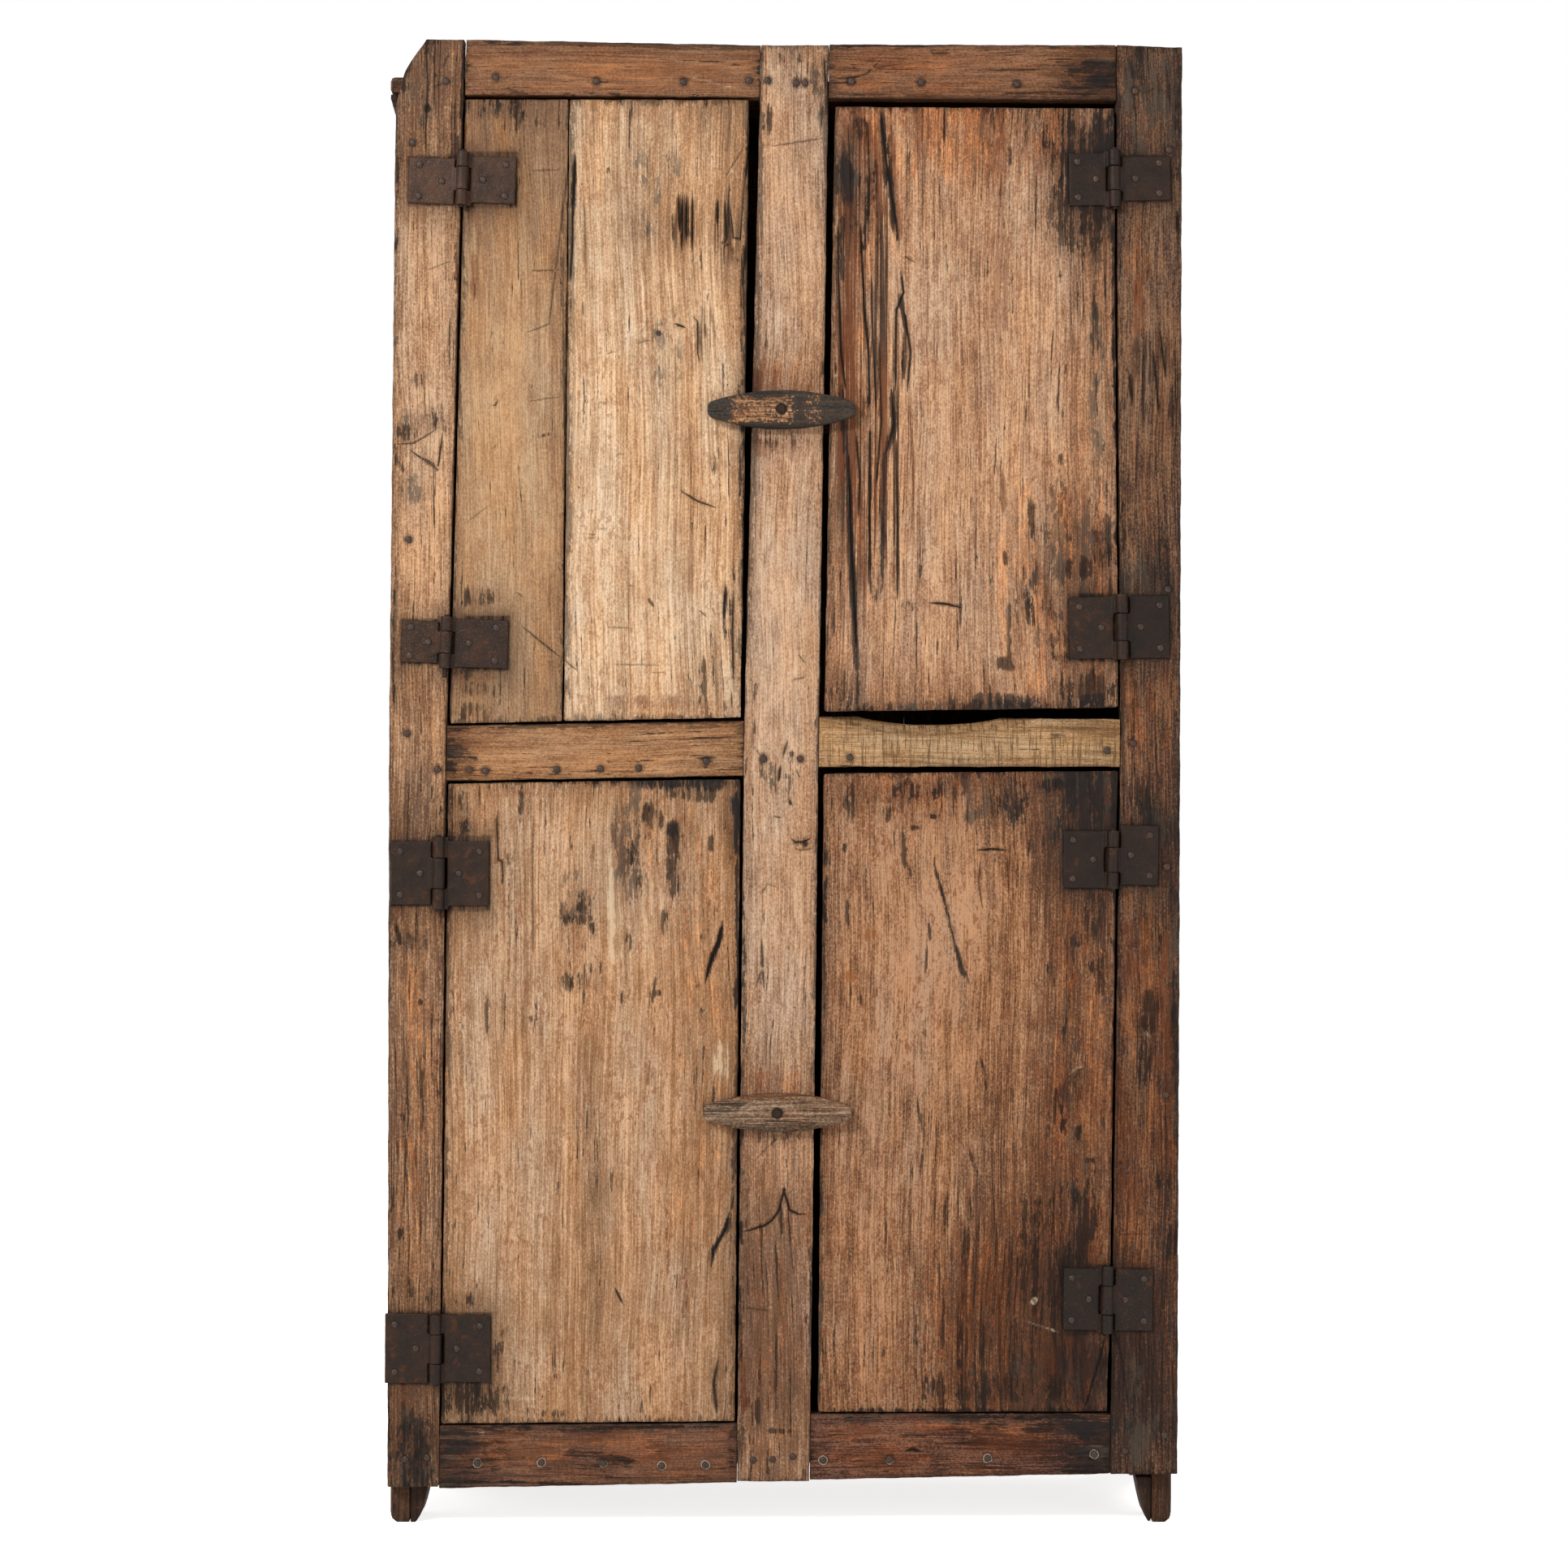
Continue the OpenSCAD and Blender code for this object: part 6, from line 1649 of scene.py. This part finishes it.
def button_material(node, paints):
    """Hand-worn wood: the upper button still carries charcoal paint, worn through in patches."""
    upper = node.startswith("upper")
    wood = Wood(node, paints)
    wood.lay_grain(node, 71 if upper else 72, True, Tone=.1 if upper else 0., Contrast=.8,
                   Lines=3., Flecks=0., Dirt=.5)
    shares = wood.attribute("shares")
    along, up = shares[0], shares[1]
    chips = wood.noise(wood.place, 230., 5., .74)
    rim = wood.ramp(abs(up), .5, .95)
    if upper:
        middle = wood.ramp(abs(along + .26), .3, .62)
        spot = wood.ramp(abs(along - .42), .05, .2)
        kept = wood.math("MAXIMUM", middle * (.35 + spot * .65), rim)
        cover = wood.ramp(chips + kept * .26, .525, .58)
        wood.over(cover * .93, wood.mix(wood.ramp(chips, .35, .7), (.008, .0085, .008, 1),
                                        (.042, .044, .041, 1)))
    else:
        cover = wood.ramp(chips + rim * .12, .58, .66)
        wood.over(cover * .6, "soot")
        wood.over(wood.ramp(up, .55, .9) * wood.ramp(chips, .4, .6) * .5, "rust")
    # Painted shade: a dark ring round the pivot nail, standing for a groove, and darker towards the
    # lower rim
    groove_shade = 1. - wood.ramp(abs(wood.attribute("nails")[0]), .8, 2.2)
    painted_shade = wood.math("MAXIMUM", groove_shade, wood.ramp(up, -.97, -.62, .8, 0.))
    wood.over(painted_shade * .85, (.006, .005, .004, 1))
    height = wood.grain["Height"] + cover * (.3 if upper else -.3)
    wood.finish(wood.colour, wood.line(chips, .3, .7, .45, .7), height, .0016, .15)
    return wood.material


def iron_material(node, paints):
    """Hammered iron, rusty, dusty and light to the node's own measure."""
    material = new_material(node + "_iron")
    n = Nodes(material.node_tree)
    rusting, dust, light = IRON_LOOKS.get(node, PLAIN_IRON)
    skin = n.group(
        forged_iron, Place=n.moved(order(node), IRON_SHIFT), Rusting=rusting, Dust=dust,
        Edge=n.attribute("wear")[0],
        Nails=n.attribute("nails")[0] if node.endswith("_leaf") else FAR_FROM_NAILS,
        Iron=[light * part for part in paints["iron"][:3]] + [1.],
        Rust=paints["iron_rust"], Worn=paints["iron_worn"])
    n.finish(skin["Color"], skin["Roughness"], skin["Height"], .0022,
             .4 if node.endswith("_nails") else .2, .1)
    return material


def keep_node(node, paints):
    """Finishes a CAD node that stays as it is."""
    material = iron_material(node, paints)
    for slot in frame["nodes"][node].material_slots:
        slot.material = material


# ---- Stage ----
# Name, place, point aimed at, width and power of each lamp
LAMPS = (("key", (-2.6, -3.6, 3.4), (0, 0, 1), 1.1, 140),
         ("fill", (3.2, -4.2, 1.6), (0, 0, .9), 3., 36),
         ("behind", (2.6, 4.2, 2.8), (0, 0, .9), 2.5, 110),
         ("beside", (-4., 2.6, 1.8), (0, 0, .9), 2.5, 70))
CAMERA_PLACE = (-.001, -5.010, .923)
CAMERA_SENSOR = 36
CAMERA_LENS = 88.57
FLOOR_SIZE = 60
WHITE = (1, 1, 1, 1)


def lay_floor(paints):
    """A pale floor that the camera sees as nearly white, with a faint shadow."""
    deselect()
    bpy.ops.mesh.primitive_grid_add(x_subdivisions=2, y_subdivisions=2, size=FLOOR_SIZE,
                                    location=(0, 0, 0))
    floor = bpy.context.object
    floor.name = floor.data.name = "floor"
    bpy.ops.object.transform_apply(location=True, rotation=True, scale=True)
    material = new_material("studio_floor")
    n = Nodes(material.node_tree)
    shade = n.add("BsdfDiffuse", {"Color": paints["floor"]})[0]
    glow = n.add("Emission", {"Color": WHITE, "Strength": .8})[0]
    seen = n.add("AddShader", {0: shade, 1: glow})[0]
    both = n.add("MixShader", {0: n.straight_rays(), 1: shade, 2: seen})[0]
    n.add("OutputMaterial", {"Surface": both})
    floor.data.materials.append(material)


def light_room():
    """A white room that lights the piece softly."""
    world = bpy.context.scene.world or bpy.data.worlds.new("studio")
    bpy.context.scene.world = world
    world.use_nodes = True
    n = Nodes(world.node_tree)
    room, white = (n.add("Background", {"Color": WHITE, "Strength": strength})[0]
                   for strength in (.35, 1.))
    both = n.add("MixShader", {0: n.straight_rays(), 1: room, 2: white})[0]
    n.add("OutputWorld", {"Surface": both})


def hang_lamps():
    for name, place, aim, wide, watts in LAMPS:
        deselect()
        bpy.ops.object.light_add(type="AREA", location=place)
        lamp = bpy.context.object
        lamp.name = name
        lamp.data.shape = "DISK"
        lamp.data.size = wide
        lamp.data.energy = watts
        lamp.rotation_euler = (Vector(aim) - Vector(place)).to_track_quat("-Z", "Y").to_euler()


def set_camera():
    scene = bpy.context.scene
    scene.view_settings.view_transform = "Standard"
    deselect()
    bpy.ops.object.camera_add(location=CAMERA_PLACE, rotation=(math.pi / 2, 0, 0))
    camera = bpy.context.object
    camera.name = "camera"
    camera.data.sensor_width = CAMERA_SENSOR
    camera.data.lens = CAMERA_LENS
    scene.camera = camera


# ---- Operators ----
REVERSIBLE = {"REGISTER", "UNDO"}
DONE = {"FINISHED"}


def chosen(context):
    """The sizes and the colours as the panel has them."""
    return context.scene.armoire_sizes, palette(context.scene.armoire_colours)


class ARMOIRE_OT_front_boards(bpy.types.Operator):
    """Makes the worn stiles, rails and door boards."""
    bl_idname = "armoire.front_boards"
    bl_label = "Stiles, rails and door boards"
    bl_options = REVERSIBLE

    def execute(self, context):
        sizes, paints = chosen(context)
        for node in FRONT_BOARDS:
            board = worn_board(node, sizes)
            board.data.materials.append(wood_material(node, node, paints))
        return DONE


class ARMOIRE_OT_carcass(bpy.types.Operator):
    """Makes the sides, back, shelves, cove and feet."""
    bl_idname = "armoire.carcass"
    bl_label = "Carcass planks, shelves and feet"
    bl_options = REVERSIBLE

    def execute(self, context):
        sizes, paints = chosen(context)
        for node in PLANKS + SHELVES + ("shelf_cleats",):
            finish = ("side" if "_side_" in node else "carcass"
                      if node in PLANKS + ("top_board",) else "inside")
            plank = worn_plank(node, sizes)
            plank.data.materials.append(wood_material(node, finish, paints))
        for node, finish in (("foot_blocks", "feet"), ("top_cove", "cove")):
            plank = worn_plank(node, sizes, **SMALL_WORK)
            plank.data.materials.append(wood_material(node, finish, paints))
        return DONE


class ARMOIRE_OT_ledges(bpy.types.Operator):
    """Makes the ledges that hold each door's boards together inside."""
    bl_idname = "armoire.ledges"
    bl_label = "Door ledges"
    bl_options = REVERSIBLE

    def execute(self, context):
        sizes, paints = chosen(context)
        for door in DOORS:
            node = door + "_door_ledges"
            ledges = worn_plank(node, sizes, **LEDGE_WORK)
            ledges.data.materials.append(wood_material(node, "inside", paints))
        return DONE


class ARMOIRE_OT_hinges(bpy.types.Operator):
    """Makes the forged leaves of the eight hinges and finishes their pins."""
    bl_idname = "armoire.hinges"
    bl_label = "Hinge leaves and pins"
    bl_options = REVERSIBLE

    def execute(self, context):
        sizes, paints = chosen(context)
        for node in frame["nodes"]:
            if node.endswith("_leaf"):
                leaf = forged_leaf(node, sizes)
                leaf.data.materials.append(iron_material(node, paints))
        keep_node("hinge_pins", paints)
        return DONE


class ARMOIRE_OT_nails(bpy.types.Operator):
    """Drives the forged nails of the frame, carcass, doors and hinges."""
    bl_idname = "armoire.nails"
    bl_label = "Forged nails"
    bl_options = REVERSIBLE

    def execute(self, context):
        sizes, paints = chosen(context)
        model = forged_nail()
        for node in frame["nodes"]:
            if node.endswith("_nails"):
                nails = drive_nails(node, model)
                nails.data.materials.append(iron_material(node, paints))
        bpy.data.objects.remove(model)
        return DONE


class ARMOIRE_OT_turn_buttons(bpy.types.Operator):
    """Makes the two turn buttons and finishes their pivot nails."""
    bl_idname = "armoire.turn_buttons"
    bl_label = "Turn buttons"
    bl_options = REVERSIBLE

    def execute(self, context):
        sizes, paints = chosen(context)
        for place in ("upper", "lower"):
            node = place + "_turn_button"
            button = worn_button(node, sizes)
            button.data.materials.append(button_material(node, paints))
        keep_node("turn_button_pivots", paints)
        return DONE


class ARMOIRE_OT_stage(bpy.types.Operator):
    """Sets the floor, light and camera."""
    bl_idname = "armoire.stage"
    bl_label = "Floor, light and camera"
    bl_options = REVERSIBLE

    def execute(self, context):
        paints = chosen(context)[1]
        lay_floor(paints)
        light_room()
        hang_lamps()
        set_camera()
        return DONE


class ARMOIRE_PT_panel(bpy.types.Panel):
    """The armoire's pieces, sizes and colours."""
    bl_label = "Armoire"
    bl_idname = "ARMOIRE_PT_panel"
    bl_space_type = "VIEW_3D"
    bl_region_type = "UI"
    bl_category = "Armoire"

    def draw(self, context):
        for step in STEPS:
            self.layout.operator(step.bl_idname)
        for group in (context.scene.armoire_sizes, context.scene.armoire_colours):
            column = self.layout.column()
            for name in group.bl_rna.properties.keys():
                if name not in ("rna_type", "name"):
                    column.prop(group, name)


STEPS = (ARMOIRE_OT_front_boards, ARMOIRE_OT_carcass, ARMOIRE_OT_ledges, ARMOIRE_OT_hinges,
         ARMOIRE_OT_nails, ARMOIRE_OT_turn_buttons, ARMOIRE_OT_stage)
CLASSES = (ArmoireColours, ArmoireSizes) + STEPS + (ARMOIRE_PT_panel,)


def register():
    for cls in CLASSES:
        bpy.utils.register_class(cls)
    bpy.types.Scene.armoire_sizes = PointerProperty(type=ArmoireSizes)
    bpy.types.Scene.armoire_colours = PointerProperty(type=ArmoireColours)


def unregister():
    del bpy.types.Scene.armoire_colours
    del bpy.types.Scene.armoire_sizes
    for cls in reversed(CLASSES):
        bpy.utils.unregister_class(cls)


def main():
    register()
    for step in STEPS:
        family, name = step.bl_idname.split(".")
        getattr(getattr(bpy.ops, family), name)()


if __name__ == "__main__":
    main()
